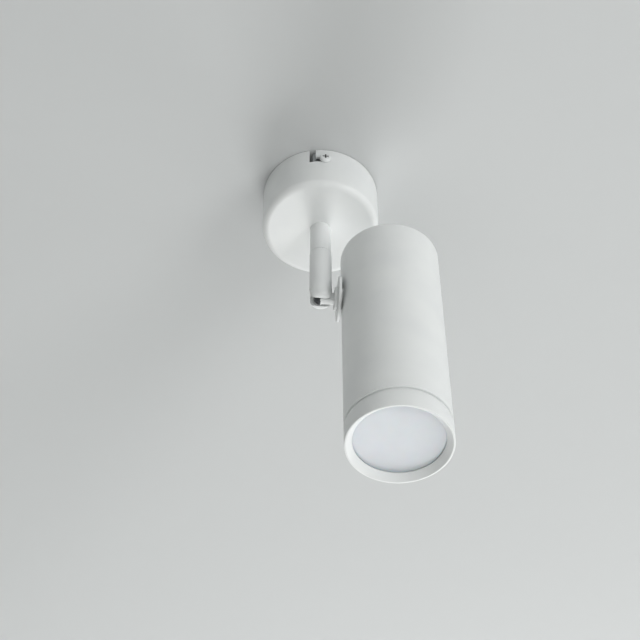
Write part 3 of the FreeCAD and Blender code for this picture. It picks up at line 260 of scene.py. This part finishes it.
def painted_screw():
    made, tree, shader, place = material("painted_screw_head")
    axes = add(tree, "ShaderNodeSeparateXYZ", {"Vector": place}).outputs
    lift = compare(tree, axes["Z"], screw_level, "SUBTRACT")
    across = add(tree, "ShaderNodeCombineXYZ", {"X": axes["X"], "Y": lift})
    radius = add(tree, "ShaderNodeVectorMath", {0: across.outputs["Vector"]},
                 operation="LENGTH").outputs["Value"]
    depth = compare(tree, axes["Y"], 0.0, "ABSOLUTE")
    near_axis = compare(tree, radius, shank_reach, "LESS_THAN")
    sunk = compare(tree, depth, bare_below, "LESS_THAN")
    shank = compare(tree, near_axis, sunk, "MULTIPLY")
    from_arms = compare(tree, compare(tree, axes["X"], 0.0, "ABSOLUTE"),
                        compare(tree, lift, 0.0, "ABSOLUTE"), "MINIMUM")
    in_arms = compare(tree, from_arms, cross_half_width, "LESS_THAN")
    # Dark on the bare shank, and in the cross recess as painted shade.
    cross = compare(tree, in_arms, compare(tree, radius, cross_reach, "LESS_THAN"), "MULTIPLY")
    shank_bare_cross_shaded = compare(tree, shank, cross, "MAXIMUM")
    tree.links.new(between(tree, shank_bare_cross_shaded, "#E0E2E2", "#3A3A3B"), shader.inputs["Base Color"])
    tree.links.new(shift(tree, shank_bare_cross_shaded, 0.38, 0.6), shader.inputs["Roughness"])
    relief(tree, shader, speckle(tree, place, 0.9), 0.01, 0.4)
    return made


screw_finish = painted_screw()
print("screw level mm:", round(screw_level / mm, 2))

# %% [markdown]
# ## Plastics, ceramic and sleeving
# Moulded plastics take the mould's even matt grain, drawn 0.5 mm across, and a little
# light enters the pale ones. The lampholder is steatite, a dense ceramic with a thin
# glaze. Its gloss comes from a clear coat over a slightly rough body.

# %% Moulded plastics
def moulded(name, dark, light, roughness, grain_mm=0.5, glow=0.0):
    made, tree, shader, place = material(name)
    grain = speckle(tree, place, grain_mm, detail=3.0)
    clouds = speckle(tree, place, 9.0)
    tree.links.new(between(tree, clouds, dark, light), shader.inputs["Base Color"])
    tree.links.new(shift(tree, grain, roughness - 0.05, roughness + 0.05),
                   shader.inputs["Roughness"])
    shader.inputs["IOR"].default_value = 1.5
    shader.inputs["Subsurface Weight"].default_value = glow
    shader.inputs["Subsurface Scale"].default_value = 1.0 * mm
    relief(tree, shader, grain, 0.006, 0.5)
    return made


polyamide = moulded("natural_polyamide", "#DEDBCF", "#E8E5DB", 0.48, glow=0.15)
# Dark acetal: its dark colour also paints the shade in the stem's seam.
seam_shade_acetal = moulded("dark_acetal_seam_shade", "#262627", "#2F2F30", 0.40)
lamp_shell = moulded("white_lamp_shell", "#E2E2DE", "#E9E9E6", 0.32, glow=0.05)
brown_pvc = moulded("brown_insulation", "#4E2C1B", "#5B3522", 0.42)
blue_pvc = moulded("blue_insulation", "#1B4690", "#2454A6", 0.42)
print("plastics:", polyamide.name, seam_shade_acetal.name, lamp_shell.name)

# %% [markdown]
# Earth wire is striped green and yellow. The stripes are drawn as bands that cross the
# diagonal of the three axes. They repeat about every 17 mm, wider than on the real wire.
# Straight bands of a wave texture repeat every 2 pi times the distance given here, and
# diagonal ones every 4 pi times it along each axis, or 7.3 times it across the bands.

# %% Green and yellow insulation
RADIANS_PER_SCALE = 20.0


def band_scale(millimetres):
    """A wave texture's scale for straight bands that advance one radian in this distance."""
    return per_metre(millimetres) / RADIANS_PER_SCALE


def striped_insulation():
    made, tree, shader, place = material("green_yellow_insulation")
    bands = add(tree, "ShaderNodeTexWave", {
        "Vector": place, "Scale": band_scale(2.4), "Distortion": 0.0,
    }, bands_direction="DIAGONAL")
    split = add(tree, "ShaderNodeValToRGB", {"Fac": bands.outputs["Fac"]})
    split.color_ramp.interpolation = "CONSTANT"
    split.color_ramp.elements[0].color = linear("#2E8A3C")
    split.color_ramp.elements[1].position = 0.55
    split.color_ramp.elements[1].color = linear("#E3C51C")
    tree.links.new(split.outputs["Color"], shader.inputs["Base Color"])
    shader.inputs["Roughness"].default_value = 0.42
    return made


earth_pvc = striped_insulation()
print("stripes:", earth_pvc.name)

# %% Glazed steatite
def glazed_steatite():
    made, tree, shader, place = material("glazed_steatite")
    body = speckle(tree, place, 3.0, detail=4.0)
    tree.links.new(between(tree, body, "#DDD6C6", "#E9E3D5"), shader.inputs["Base Color"])
    shader.inputs["Roughness"].default_value = 0.35
    shader.inputs["Coat Weight"].default_value = 0.6
    shader.inputs["Coat Roughness"].default_value = 0.08
    relief(tree, shader, body, 0.02, 0.4)
    return made


steatite = glazed_steatite()
print("ceramic:", steatite.name)

# %% [markdown]
# The wires near the lamp run in braided glass sleeving, which stands the heat. The braid
# is a diamond pattern. Two sets of bands that cross give it, each repeating every 5 mm,
# which is coarser than the real yarns.

# %% Braided glass sleeving
def braided_glass():
    made, tree, shader, place = material("braided_glass_sleeving")
    heights = []
    for lean in (0.9, -0.9):
        turned_place = add(tree, "ShaderNodeMapping", {
            "Vector": place, "Rotation": (0.0, lean, lean),
        })
        wave = add(tree, "ShaderNodeTexWave", {
            "Vector": turned_place.outputs["Vector"], "Scale": band_scale(0.8),
        }, bands_direction="Z")
        heights.append(wave.outputs["Fac"])
    braid = add(tree, "ShaderNodeMath", {0: heights[0], 1: heights[1]}, operation="MAXIMUM")
    height = braid.outputs["Value"]
    tree.links.new(between(tree, height, "#BDB8AA", "#E6E2D8"), shader.inputs["Base Color"])
    shader.inputs["Roughness"].default_value = 0.8
    shader.inputs["Sheen Weight"].default_value = 0.3
    relief(tree, shader, height, 0.12, 0.8)
    return made


sleeving = braided_glass()
print("sleeving:", sleeving.name)

# %% [markdown]
# ## The frosted lens and the boards
# The lamp's face is opal polycarbonate, frosted inside. Unlit it looks like bluish white
# paper. A little light goes into it and comes back, which subsurface scattering gives. The
# board behind it is white, and the driver's board has a green solder mask.

# %% Opal polycarbonate
def opal_lens():
    made, tree, shader, place = material("frosted_opal_polycarbonate")
    frost = speckle(tree, place, 0.7, detail=3.0)
    clouds = speckle(tree, place, 14.0)
    tree.links.new(between(tree, clouds, "#D1D5DA", "#D5D9DE"), shader.inputs["Base Color"])
    tree.links.new(shift(tree, frost, 0.34, 0.46), shader.inputs["Roughness"])
    shader.inputs["IOR"].default_value = 1.58
    shader.inputs["Subsurface Weight"].default_value = 0.25
    shader.inputs["Subsurface Scale"].default_value = 2.0 * mm
    relief(tree, shader, frost, 0.01, 0.4)
    return made


lens_finish = opal_lens()
print("lens:", lens_finish.name)


# %% Solder mask
def solder_mask(name, mask, track):
    """A board: short straight copper tracks under the mask show as slightly raised bands."""
    made, tree, shader, place = material(name)
    tracks = add(tree, "ShaderNodeTexBrick", {
        "Vector": place, "Scale": per_metre(4.0), "Mortar Size": 0.06,
        "Color1": linear(mask), "Color2": linear(mask), "Mortar": linear(track),
    })
    tree.links.new(tracks.outputs["Color"], shader.inputs["Base Color"])
    shader.inputs["Roughness"].default_value = 0.35
    relief(tree, shader, tracks.outputs["Fac"], 0.04, 0.4)
    return made


white_board = solder_mask("white_solder_mask", "#DFDFDA", "#C9C9C2")
green_board = solder_mask("green_solder_mask", "#1C5A34", "#2C7446")
print("boards:", white_board.name, green_board.name)

# %% [markdown]
# ## Each CAD part gets its finish
# The record gives every part a material slot. This table says which material dresses each
# slot, so no part is left with the plain grey that it was packed with.

# %% Dress the CAD parts
finish_of = {
    "white_powder_coat": powder_on_steel,
    "white_powder_coat_aluminium": powder_on_aluminium,
    "zinc_steel": zinc,
    "nickel_screw": nickel,
    "terminal_brass": brass,
    "tinned_copper": tinned,
    "terminal_polyamide": polyamide,
    "slip_polymer": seam_shade_acetal,
    "live_insulation": brown_pvc,
    "neutral_insulation": blue_pvc,
    "earth_insulation": earth_pvc,
    "heatproof_sleeving": sleeving,
    "steatite_ceramic": steatite,
    "lamp_shell_polymer": lamp_shell,
    "opal_polycarbonate": lens_finish,
    "led_board_white": white_board,
    "circuit_board_green": green_board,
}
for part in frame["record"]["subparts"]:
    for holder in nodes[part["node"]].material_slots:
        holder.material = finish_of[part["material_slot"]]
for holder in nodes["bracket_side_screws"].material_slots:
    holder.material = screw_finish

# %% [markdown]
# ## Turned surfaces
# Ring, lens, stem, collar and washers are made on a lathe or in a round mould. Such a shape
# is a profile carried round an axis: a point of the surface is (r cos t, r sin t, z), with
# r and z taken from the profile. The corners of the real pieces are slightly rounded, and
# that is what catches the light, so the profile's corners become arcs first.

# %% A profile with rounded corners
STRAIGHT = 1.55  # half of a corner's angle in radians: above this it's a straight line


def rounded_profile(corners, steps=6):
    """Each corner is (radius, height, rounding). The arc at a corner touches both sides at a
    distance of rounding / tan(half the corner's angle), and follows a circle between them."""
    points = np.array([c[:2] for c in corners], float)
    before, after = np.roll(points, 1, 0), np.roll(points, -1, 0)
    line = []
    for at, back, on, corner in zip(points, before, after, corners):
        a = (back - at) / np.linalg.norm(back - at)
        b = (on - at) / np.linalg.norm(on - at)
        half = np.arccos(np.clip(a @ b, -1, 1)) / 2
        if corner[2] <= 0 or half > STRAIGHT:
            line.append(at[None])
            continue
        reach = corner[2] / np.tan(half)
        middle = at + (a + b) / np.linalg.norm(a + b) * corner[2] / np.sin(half)
        first, last = at + a * reach - middle, at + b * reach - middle
        share = np.linspace(0, 1, steps)[:, None]
        sweep = np.pi - 2 * half
        line.append(middle + (np.sin((1 - share) * sweep) * first
                              + np.sin(share * sweep) * last) / np.sin(sweep))
    return np.concatenate(line)


print("points of a square with round corners:",
      len(rounded_profile([(1, 0, .1), (2, 0, .1), (2, 1, .1), (1, 1, .1)])))


# %% Carry a profile round an axis
def mesh_from(name, points, faces):
    mesh = bpy.data.meshes.new(name)
    mesh.from_pydata(points.tolist(), [], faces)
    mesh.polygons.foreach_set("use_smooth", np.ones(len(mesh.polygons), bool))
    mesh.update()
    made = bpy.data.objects.new(name, mesh)
    bpy.context.scene.collection.objects.link(made)
    return made


def volume_of(points, quads):
    """A closed surface's volume: the sum over triangles of a . (b x c) / 6."""
    triangles = np.concatenate([quads[:, [0, 1, 2]], quads[:, [0, 2, 3]]])
    a, b, c = (points[triangles[:, k]] for k in range(3))
    return float(np.einsum("ij,ij->i", a, np.cross(b, c)).sum() / 6)


def turned(name, corners, centre, sides=192, along="z"):
    """The surface (r cos t, r sin t, z) of a closed profile, in millimetres from the centre."""
    profile = rounded_profile(corners) * mm
    angle = np.linspace(0, 2 * np.pi, sides, endpoint=False)[:, None]
    radius, height = profile[:, 0], profile[:, 1]
    flat = np.stack([radius * np.cos(angle), radius * np.sin(angle),
                     np.broadcast_to(height, (sides, len(height)))], axis=-1)
    order = {"x": [2, 0, 1], "y": [1, 2, 0], "z": [0, 1, 2]}[along]
    flat = flat[..., order]
    points = flat.reshape(-1, 3) + np.array(centre)
    rows, columns = np.meshgrid(np.arange(sides), np.arange(len(profile)), indexing="ij")
    next_row, next_column = (rows + 1) % sides, (columns + 1) % len(profile)
    corner = [rows, next_row, next_row, rows], [columns, columns, next_column, next_column]
    quads = np.stack([r * len(profile) + c for r, c in zip(*corner)], -1).reshape(-1, 4)
    if volume_of(points - points.mean(0), quads) < 0:
        quads = quads[:, ::-1]
    made = mesh_from(name, points, quads.tolist())
    made.data.set_sharp_from_angle(angle=np.radians(35))
    return made


# %% [markdown]
# ## The front ring
# A band that closes the tube, with a coned mouth that leads the eye to the lamp. A thin
# lip holds the lamp in, and a neck behind the band slides into the tube. It is turned
# from aluminium, so each edge has a break of about 0.2 mm. The profile starts at the
# front and goes up outside, over the neck, and down inside.

# %% Front ring
band_height = 11.3
rim_width = 1.0
lip_depth = 3.9
lip_gauge = 0.7
lip_radius = 23.9
neck_gauge = 1.2
radius_mm = (ring_high.x - ring_low.x) / 2 / mm
front_mm, neck_top_mm = ring_low.z / mm, ring_high.z / mm
neck_outer = radius_mm - neck_gauge - 0.05
lip_back = front_mm + lip_depth
ring = turned("front_ring_turned", [
    (radius_mm - rim_width, front_mm, 0.25),
    (radius_mm, front_mm, 0.3),
    (radius_mm, front_mm + band_height, 0.3),
    (neck_outer, front_mm + band_height, 0.1),
    (neck_outer, neck_top_mm, 0.3),
    (neck_outer - neck_gauge, neck_top_mm, 0.3),
    (neck_outer - neck_gauge, lip_back, 0.1),
    (lip_radius, lip_back, 0.15),
    (lip_radius, lip_back - lip_gauge, 0.2),
], (head_axis, 0, 0), sides=256)
ring.data.materials.append(powder_on_aluminium)
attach(ring, "front_ring")
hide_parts("front_ring")
print("ring faces:", len(ring.data.polygons))

# %% [markdown]
# ## The frosted lens
# A moulded disc with a slightly hollow face and a rounded edge that sits in the lamp's
# rim. The profile is closed at the axis by a very small hole, smaller than a hair, so
# that every face is a clean quad.

# %% Lens
lens_radius = (lens_high.x - lens_low.x) / 2 / mm
lens_front, lens_back = lens_low.z / mm, lens_high.z / mm
lens = turned("lamp_lens", [
    (0.02, lens_front + 0.25, 0),
    (lens_radius * 0.5, lens_front + 0.18, 0),
    (lens_radius * 0.8, lens_front + 0.06, 0),
    (lens_radius, lens_front, 0.3),
    (lens_radius, lens_back, 0.3),
    (0.02, lens_back, 0),
], (head_axis, 0, 0))
lens.data.materials.append(lens_finish)
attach(lens, "lamp")
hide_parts("lamp_diffuser")
print("lens faces:", len(lens.data.polygons))

# %% [markdown]
# ## The arm and its eye
# The arm is a casting. A round eye sits in the stem's fork, a bar leads out of it to a
# collar, and a hollow stud goes on into the head. The eye is narrower than the fork, so
# a dark gap shows on each side. It is a flat shape with rounded long edges: its outline,
# an arc and two straight sides, shrinks towards both faces along a quarter circle. The
# eye's end behind the pivot is coloured dark metal, which is painted shade for the slot.

# %% Arm
arm_low, arm_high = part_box("arm")
pivot_level = (arm_low.z + arm_high.z) / 2 / mm
eye_radius = -arm_low.x / mm
bar_half_height = 3.45
bar_end = 7.8
tongue = 4.2
edge_round = 1.1
eye_shade_edge = -0.3


def eye_outline(inset, steps=48):
    """Arc of radius (eye - inset), then both sides at (half height - inset), as x and z."""
    arc_radius, half_height = eye_radius - inset, bar_half_height - inset
    start = np.arcsin(half_height / arc_radius)
    angle = np.linspace(start, 2 * np.pi - start, steps)
    arc = np.stack([arc_radius * np.cos(angle), arc_radius * np.sin(angle)], 1)
    straight = np.linspace(0, 1, 8)[1:, None]
    top_end = np.array([bar_end, half_height])
    bottom_end = np.array([bar_end, -half_height])
    top = top_end + (arc[0] - top_end) * straight
    bottom = arc[-1] + (bottom_end - arc[-1]) * straight
    return np.concatenate([top_end[None], top[:-1], arc, bottom])


def flat_casting(name, quarter_steps=6):
    """The outline at (y, inset) pairs: y = half - r + r sin q and inset = r (1 - cos q)."""
    quarter = np.linspace(0, np.pi / 2, quarter_steps)
    rise = tongue / 2 - edge_round + edge_round * np.sin(quarter)
    inset = edge_round * (1 - np.cos(quarter))
    levels = np.concatenate([-rise[::-1], rise])
    insets = np.concatenate([inset[::-1], inset])
    rings = [np.insert(eye_outline(d), 1, y, axis=1) for y, d in zip(levels, insets)]
    count = len(rings[0])
    points = np.concatenate(rings) * mm + np.array((0, 0, pivot_level * mm))
    ring, spot = np.meshgrid(np.arange(len(rings) - 1), np.arange(count), indexing="ij")
    after = (spot + 1) % count
    quads = np.stack([ring * count + spot, (ring + 1) * count + spot,
                      (ring + 1) * count + after, ring * count + after], -1).reshape(-1, 4)
    last = (len(rings) - 1) * count
    caps = [list(range(count)), list(range(last + count - 1, last - 1, -1))]
    made = mesh_from(name, points, quads.tolist() + caps)
    made.data.set_sharp_from_angle(angle=np.radians(35))
    return made


bar = flat_casting("arm_bar")
bar.data.materials.append(powder_on_steel)
bar.data.materials.append(eye_painted_shade)
# Faces behind the pivot get the dark metal: painted shade in the fork's slot.
middles = np.zeros(len(bar.data.polygons) * 3)
bar.data.polygons.foreach_get("center", middles)
eye_shade_faces = middles[0::3] < eye_shade_edge * mm
bar.data.polygons.foreach_set("material_index", eye_shade_faces.astype(np.int32))
print("bar faces:", len(bar.data.polygons), "masked:", int(eye_shade_faces.sum()))

# %% Collar and stud
disc_low, disc_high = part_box("side_disc")
collar_gauge = 1.8
collar_radius = 6.9
stud_radius = 4.0
stud_bore = 2.0
collar_back = disc_low.x / mm
collar = turned("arm_collar", [
    (stud_bore, collar_back - collar_gauge, 0),
    (collar_radius, collar_back - collar_gauge, 0.6),
    (collar_radius, collar_back - 0.01, 0.3),
    (stud_radius, collar_back - 0.01, 0.1),
    (stud_radius, arm_high.x / mm, 0.3),
    (stud_bore, arm_high.x / mm, 0.3),
], (0, 0, pivot_level * mm), sides=128, along="x")
collar.data.materials.append(powder_on_steel)
for piece in (bar, collar):
    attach(piece, "head")
    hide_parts("arm")
print("collar faces:", len(collar.data.polygons))

# %% [markdown]
# ## Washers of the two swivels
# A dark slip washer lies in the seam between the two stem tubes and shows as a thin line.
# The washer is dark acetal, and its darkness also paints the shade in the seam.
# Two steel washers keep the eye in the middle of the fork. Each is a turned ring.

# %% Washers
seam_low, seam_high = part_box("swivel_washer")
seam_middle = (seam_low.z + seam_high.z) / 2 / mm
slip_inner, slip_outer, slip_half = 4.1, 5.8, 0.2
slip = turned("slip_washer", [
    (slip_inner, seam_middle - slip_half, 0), (slip_outer, seam_middle - slip_half, 0.05),
    (slip_outer, seam_middle + slip_half, 0.05), (slip_inner, seam_middle + slip_half, 0),
], (0, 0, 0))
slip.data.materials.append(seam_shade_acetal)
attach(slip, "canopy")
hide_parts("swivel_washer")

fork_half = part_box("pivot_washers")[1].y / mm
hole_radius, rim_radius, play = 1.65, 2.7, 0.03
for name, side in (("pivot_washer_near", -1), ("pivot_washer_far", 1)):
    inner = np.array([(hole_radius, tongue / 2 + play), (rim_radius, tongue / 2 + play)])
    outer = np.array([(rim_radius, fork_half - play), (hole_radius, fork_half - play)])
    rim = np.concatenate([inner, outer]) * (1, side)
    washer = turned(name, [(r, y, 0.1) for r, y in rim], (0, 0, pivot_level * mm),
                    sides=64, along="y")
    washer.data.materials.append(zinc)
    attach(washer, "lower_stem")
    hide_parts("pivot_washers")
print("seam level mm:", round(seam_middle, 2), "fork half width mm:", round(fork_half, 2))

# %% [markdown]
# ## The lower stem and its fork
# The lower stem turns on a spigot of the upper one. Its foot is milled to a fork and its
# edge is well rounded, so the near cheek shades off smoothly instead of ending in a bright
# face. It is turned first, and then the slot, the wires' way and the screw holes are cut
# with prisms. A prism is a flat outline, repeated at both ends of an axis.

# %% Prisms that cut
def prism(name, outline, low, high, along, place=(0, 0, 0)):
    """The closed surface between one outline at low and the same outline at high."""
    outline = np.array(outline, float)
    count = len(outline)
    ends = [np.column_stack([outline, np.full(count, level)]) for level in (low, high)]
    order = {"x": [2, 0, 1], "y": [1, 2, 0], "z": [0, 1, 2]}[along]
    points = (np.concatenate(ends)[:, order] + np.array(place)) * mm
    spot = np.arange(count)
    after = (spot + 1) % count
    sides = np.stack([spot, after, after + count, spot + count], 1).tolist()
    caps = [spot[::-1].tolist(), (spot + count).tolist()]
    return mesh_from(name, points, sides + caps)


def round_outline(radius, shift=0.0, steps=48):
    """A circle, or with a shift a long hole: its right half moves along the first axis."""
    angle = np.linspace(0, 2 * np.pi, steps, endpoint=False) + np.pi / steps
    first = radius * np.cos(angle) + np.where(np.cos(angle) > 0, shift, 0.0)
    return np.stack([first, radius * np.sin(angle)], 1)


def cut(piece, cutters):
    """Each cutter is taken away from the piece, and the result becomes its mesh."""
    for cutter in cutters:
        away = piece.modifiers.new(cutter.name, "BOOLEAN")
        away.operation = "DIFFERENCE"
        away.solver = "EXACT"
        away.object = cutter
    shown = bpy.context.evaluated_depsgraph_get()
    whole = piece.data
    piece.data = bpy.data.meshes.new_from_object(piece.evaluated_get(shown))
    piece.modifiers.clear()
    bpy.data.meshes.remove(whole)
    for cutter in cutters:
        bpy.data.objects.remove(cutter)
    piece.data.polygons.foreach_set("use_smooth", np.ones(len(piece.data.polygons), bool))
    piece.data.set_sharp_from_angle(angle=np.radians(35))


# %% Turn the lower stem and cut its fork
stem_low, stem_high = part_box("lower_stem")
grub_low, grub_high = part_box("pan_grub_screw")
stem_radius = stem_high.y / mm
stem_foot, stem_top = stem_low.z / mm, stem_high.z / mm
grub_level = (grub_low.z + grub_high.z) / 2 / mm
foot_round = 2.0
spigot_bore = 4.05
spigot_depth = 13.8
wire_radius, wire_shift = 2.4, 2.3
tapped_radius = 1.55
sink_radius, sink_floor = 2.85, 4.29
past_surface = 7
slot_root = pivot_level + eye_radius + 0.3
stem = turned("lower_stem_fork", [
    (spigot_bore, stem_top, 0.2), (stem_radius, stem_top, 0.35),
    (stem_radius, grub_level - 4, 0), (stem_radius, slot_root + 1, 0),
    (stem_radius, stem_foot, foot_round), (0.02, stem_foot, 0),
    (0.02, stem_top - spigot_depth, 0), (spigot_bore, stem_top - spigot_depth, 0),
], (0, 0, 0), sides=128)
slot = [(-fork_half, stem_foot - 1), (fork_half, stem_foot - 1),
        (fork_half, slot_root), (-fork_half, slot_root)]
cut(stem, [
    prism("slot", slot, -past_surface, past_surface, "x"),
    prism("wire_way", round_outline(wire_radius, wire_shift),
          slot_root - 2, stem_top - 12, "z"),
    prism("grub_hole", round_outline(tapped_radius), 3.5, past_surface, "y",
          (0, 0, grub_level)),
    prism("pivot_blind", round_outline(tapped_radius), -5.2, 0, "y", (0, 0, pivot_level)),
    prism("pivot_way", round_outline(hole_radius), 0, 5, "y", (0, 0, pivot_level)),
    prism("pivot_sink", round_outline(sink_radius), sink_floor, past_surface, "y",
          (0, 0, pivot_level)),
])
stem.data.materials.clear()
stem.data.materials.append(powder_on_steel)
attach(stem, "lower_stem")
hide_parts("lower_stem")
print("stem faces:", len(stem.data.polygons))

# %% [markdown]
# ## Ceiling, floor and light
# The ceiling is a sheet that faces down. Seen from above it lets the camera through, so
# that the canopy's open back can be looked at, and right over the canopy it lets part of
# the room's light in, so that the terminals aren't lost in the dark. More than 1.1 m out
# the camera sees the pale backdrop instead. The floor is that same tone to the camera.

# %% Ceiling and floor
def sheet_of(name, side, level, facing_down):
    half = side / 2
    corners = np.array([(-half, -half, level), (half, -half, level),
                        (half, half, level), (-half, half, level)])
    order = [[3, 2, 1, 0]] if facing_down else [[0, 1, 2, 3]]
    made = mesh_from(name, corners, order)
    return made


def split_by_ray(tree, output, usual, to_camera):
    """The camera's rays meet one shader, and all other rays meet the usual one."""
    seen = add(tree, "ShaderNodeLightPath").outputs["Is Camera Ray"]
    either = add(tree, "ShaderNodeMixShader", {0: seen, 1: usual, 2: to_camera})
    tree.links.new(either.outputs["Shader"], tree.nodes[output].inputs["Surface"])


BACKDROP = "#D5D7D7"
ceiling_side, ceiling_level = 6.0, 0.4 * mm
floor_side, floor_level = 80.0, -1.9
canopy_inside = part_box("canopy_cup")[1].x - 1.5 * mm
ceiling_shown = 1.1
light_let_in = 0.45
ceiling = sheet_of("ceiling", ceiling_side, ceiling_level, True)
floor = sheet_of("floor", floor_side, floor_level, False)

ceiling_paint, tree, shader, place = material("matt_ceiling_paint")
shader.inputs["Base Color"].default_value = linear("#CBCDCD")
shader.inputs["Roughness"].default_value = 0.9
shader.inputs["Specular IOR Level"].default_value = 0.2
clear = add(tree, "ShaderNodeBsdfTransparent")
above = add(tree, "ShaderNodeNewGeometry").outputs["Backfacing"]
from_axis = add(tree, "ShaderNodeVectorMath", {0: place}, operation="LENGTH").outputs["Value"]
over_canopy = compare(tree, from_axis, canopy_inside, "LESS_THAN")
seen = add(tree, "ShaderNodeLightPath").outputs["Is Camera Ray"]
unseen = compare(tree, light_let_in, seen, "SUBTRACT")
light_way = compare(tree, over_canopy, compare(tree, unseen, 0.0, "MAXIMUM"), "MULTIPLY")
far_off = compare(tree, from_axis, ceiling_shown, "GREATER_THAN")
past_edge = compare(tree, far_off, seen, "MULTIPLY")
light_way = compare(tree, light_way, past_edge, "MAXIMUM")
either = add(tree, "ShaderNodeMixShader", {
    0: compare(tree, above, light_way, "MAXIMUM"),
    1: shader.outputs["BSDF"], 2: clear.outputs["BSDF"],
})
tree.links.new(either.outputs["Shader"], tree.nodes["Material Output"].inputs["Surface"])
ceiling.data.materials.append(ceiling_paint)

floor_paint, tree, shader, place = material("pale_floor")
shader.inputs["Base Color"].default_value = linear("#E4E4E2")
shader.inputs["Roughness"].default_value = 0.9
pale = add(tree, "ShaderNodeEmission", {"Color": linear(BACKDROP), "Strength": 1.0})
split_by_ray(tree, "Material Output", shader.outputs["BSDF"], pale.outputs["Emission"])
floor.data.materials.append(floor_paint)
print("stage:", ceiling.name, floor.name)

# %% [markdown]
# The light is soft. A bright window lies to the front and right and another behind, and
# weaker light comes back from the walls at the right and from the floor.

# %% Lamps of the studio
STUDIO_CENTRE = Vector((0.02, 0.0, -0.1))


def softbox(name, place, side, watts):
    light = bpy.data.lights.new(name, "AREA")
    light.shape = "DISK"
    light.size = side
    light.energy = watts
    made = bpy.data.objects.new(name, light)
    bpy.context.scene.collection.objects.link(made)
    made.location = place
    aim = STUDIO_CENTRE - Vector(place)
    made.rotation_euler = aim.to_track_quat("-Z", "Y").to_euler()
    return made


softbox("window_front_right", (1.3, -1.3, -0.7), 1.0, 15.2)
softbox("window_back", (0.3, 1.4, -0.9), 1.0, 14.0)
softbox("wall_right", (1.6, -0.3, -0.5), 1.0, 2.4)
softbox("wall_back_right", (1.3, 0.9, -0.6), 1.0, 3.7)
softbox("floor_bounce", (0.0, -0.3, -1.85), 1.6, 5.5)

world = bpy.data.worlds.new("room")
bpy.context.scene.world = world
world.use_nodes = True
world_background = world.node_tree.nodes["Background"]
world_background.inputs["Color"].default_value = linear("#F2F4F4")
world_background.inputs["Strength"].default_value = 0.5
backdrop = add(world.node_tree, "ShaderNodeBackground", {
    "Color": linear(BACKDROP), "Strength": 1.0,
})
split_by_ray(world.node_tree, "World Output",
             world_background.outputs["Background"], backdrop.outputs["Background"])
bpy.context.scene.view_settings.view_transform = "Standard"
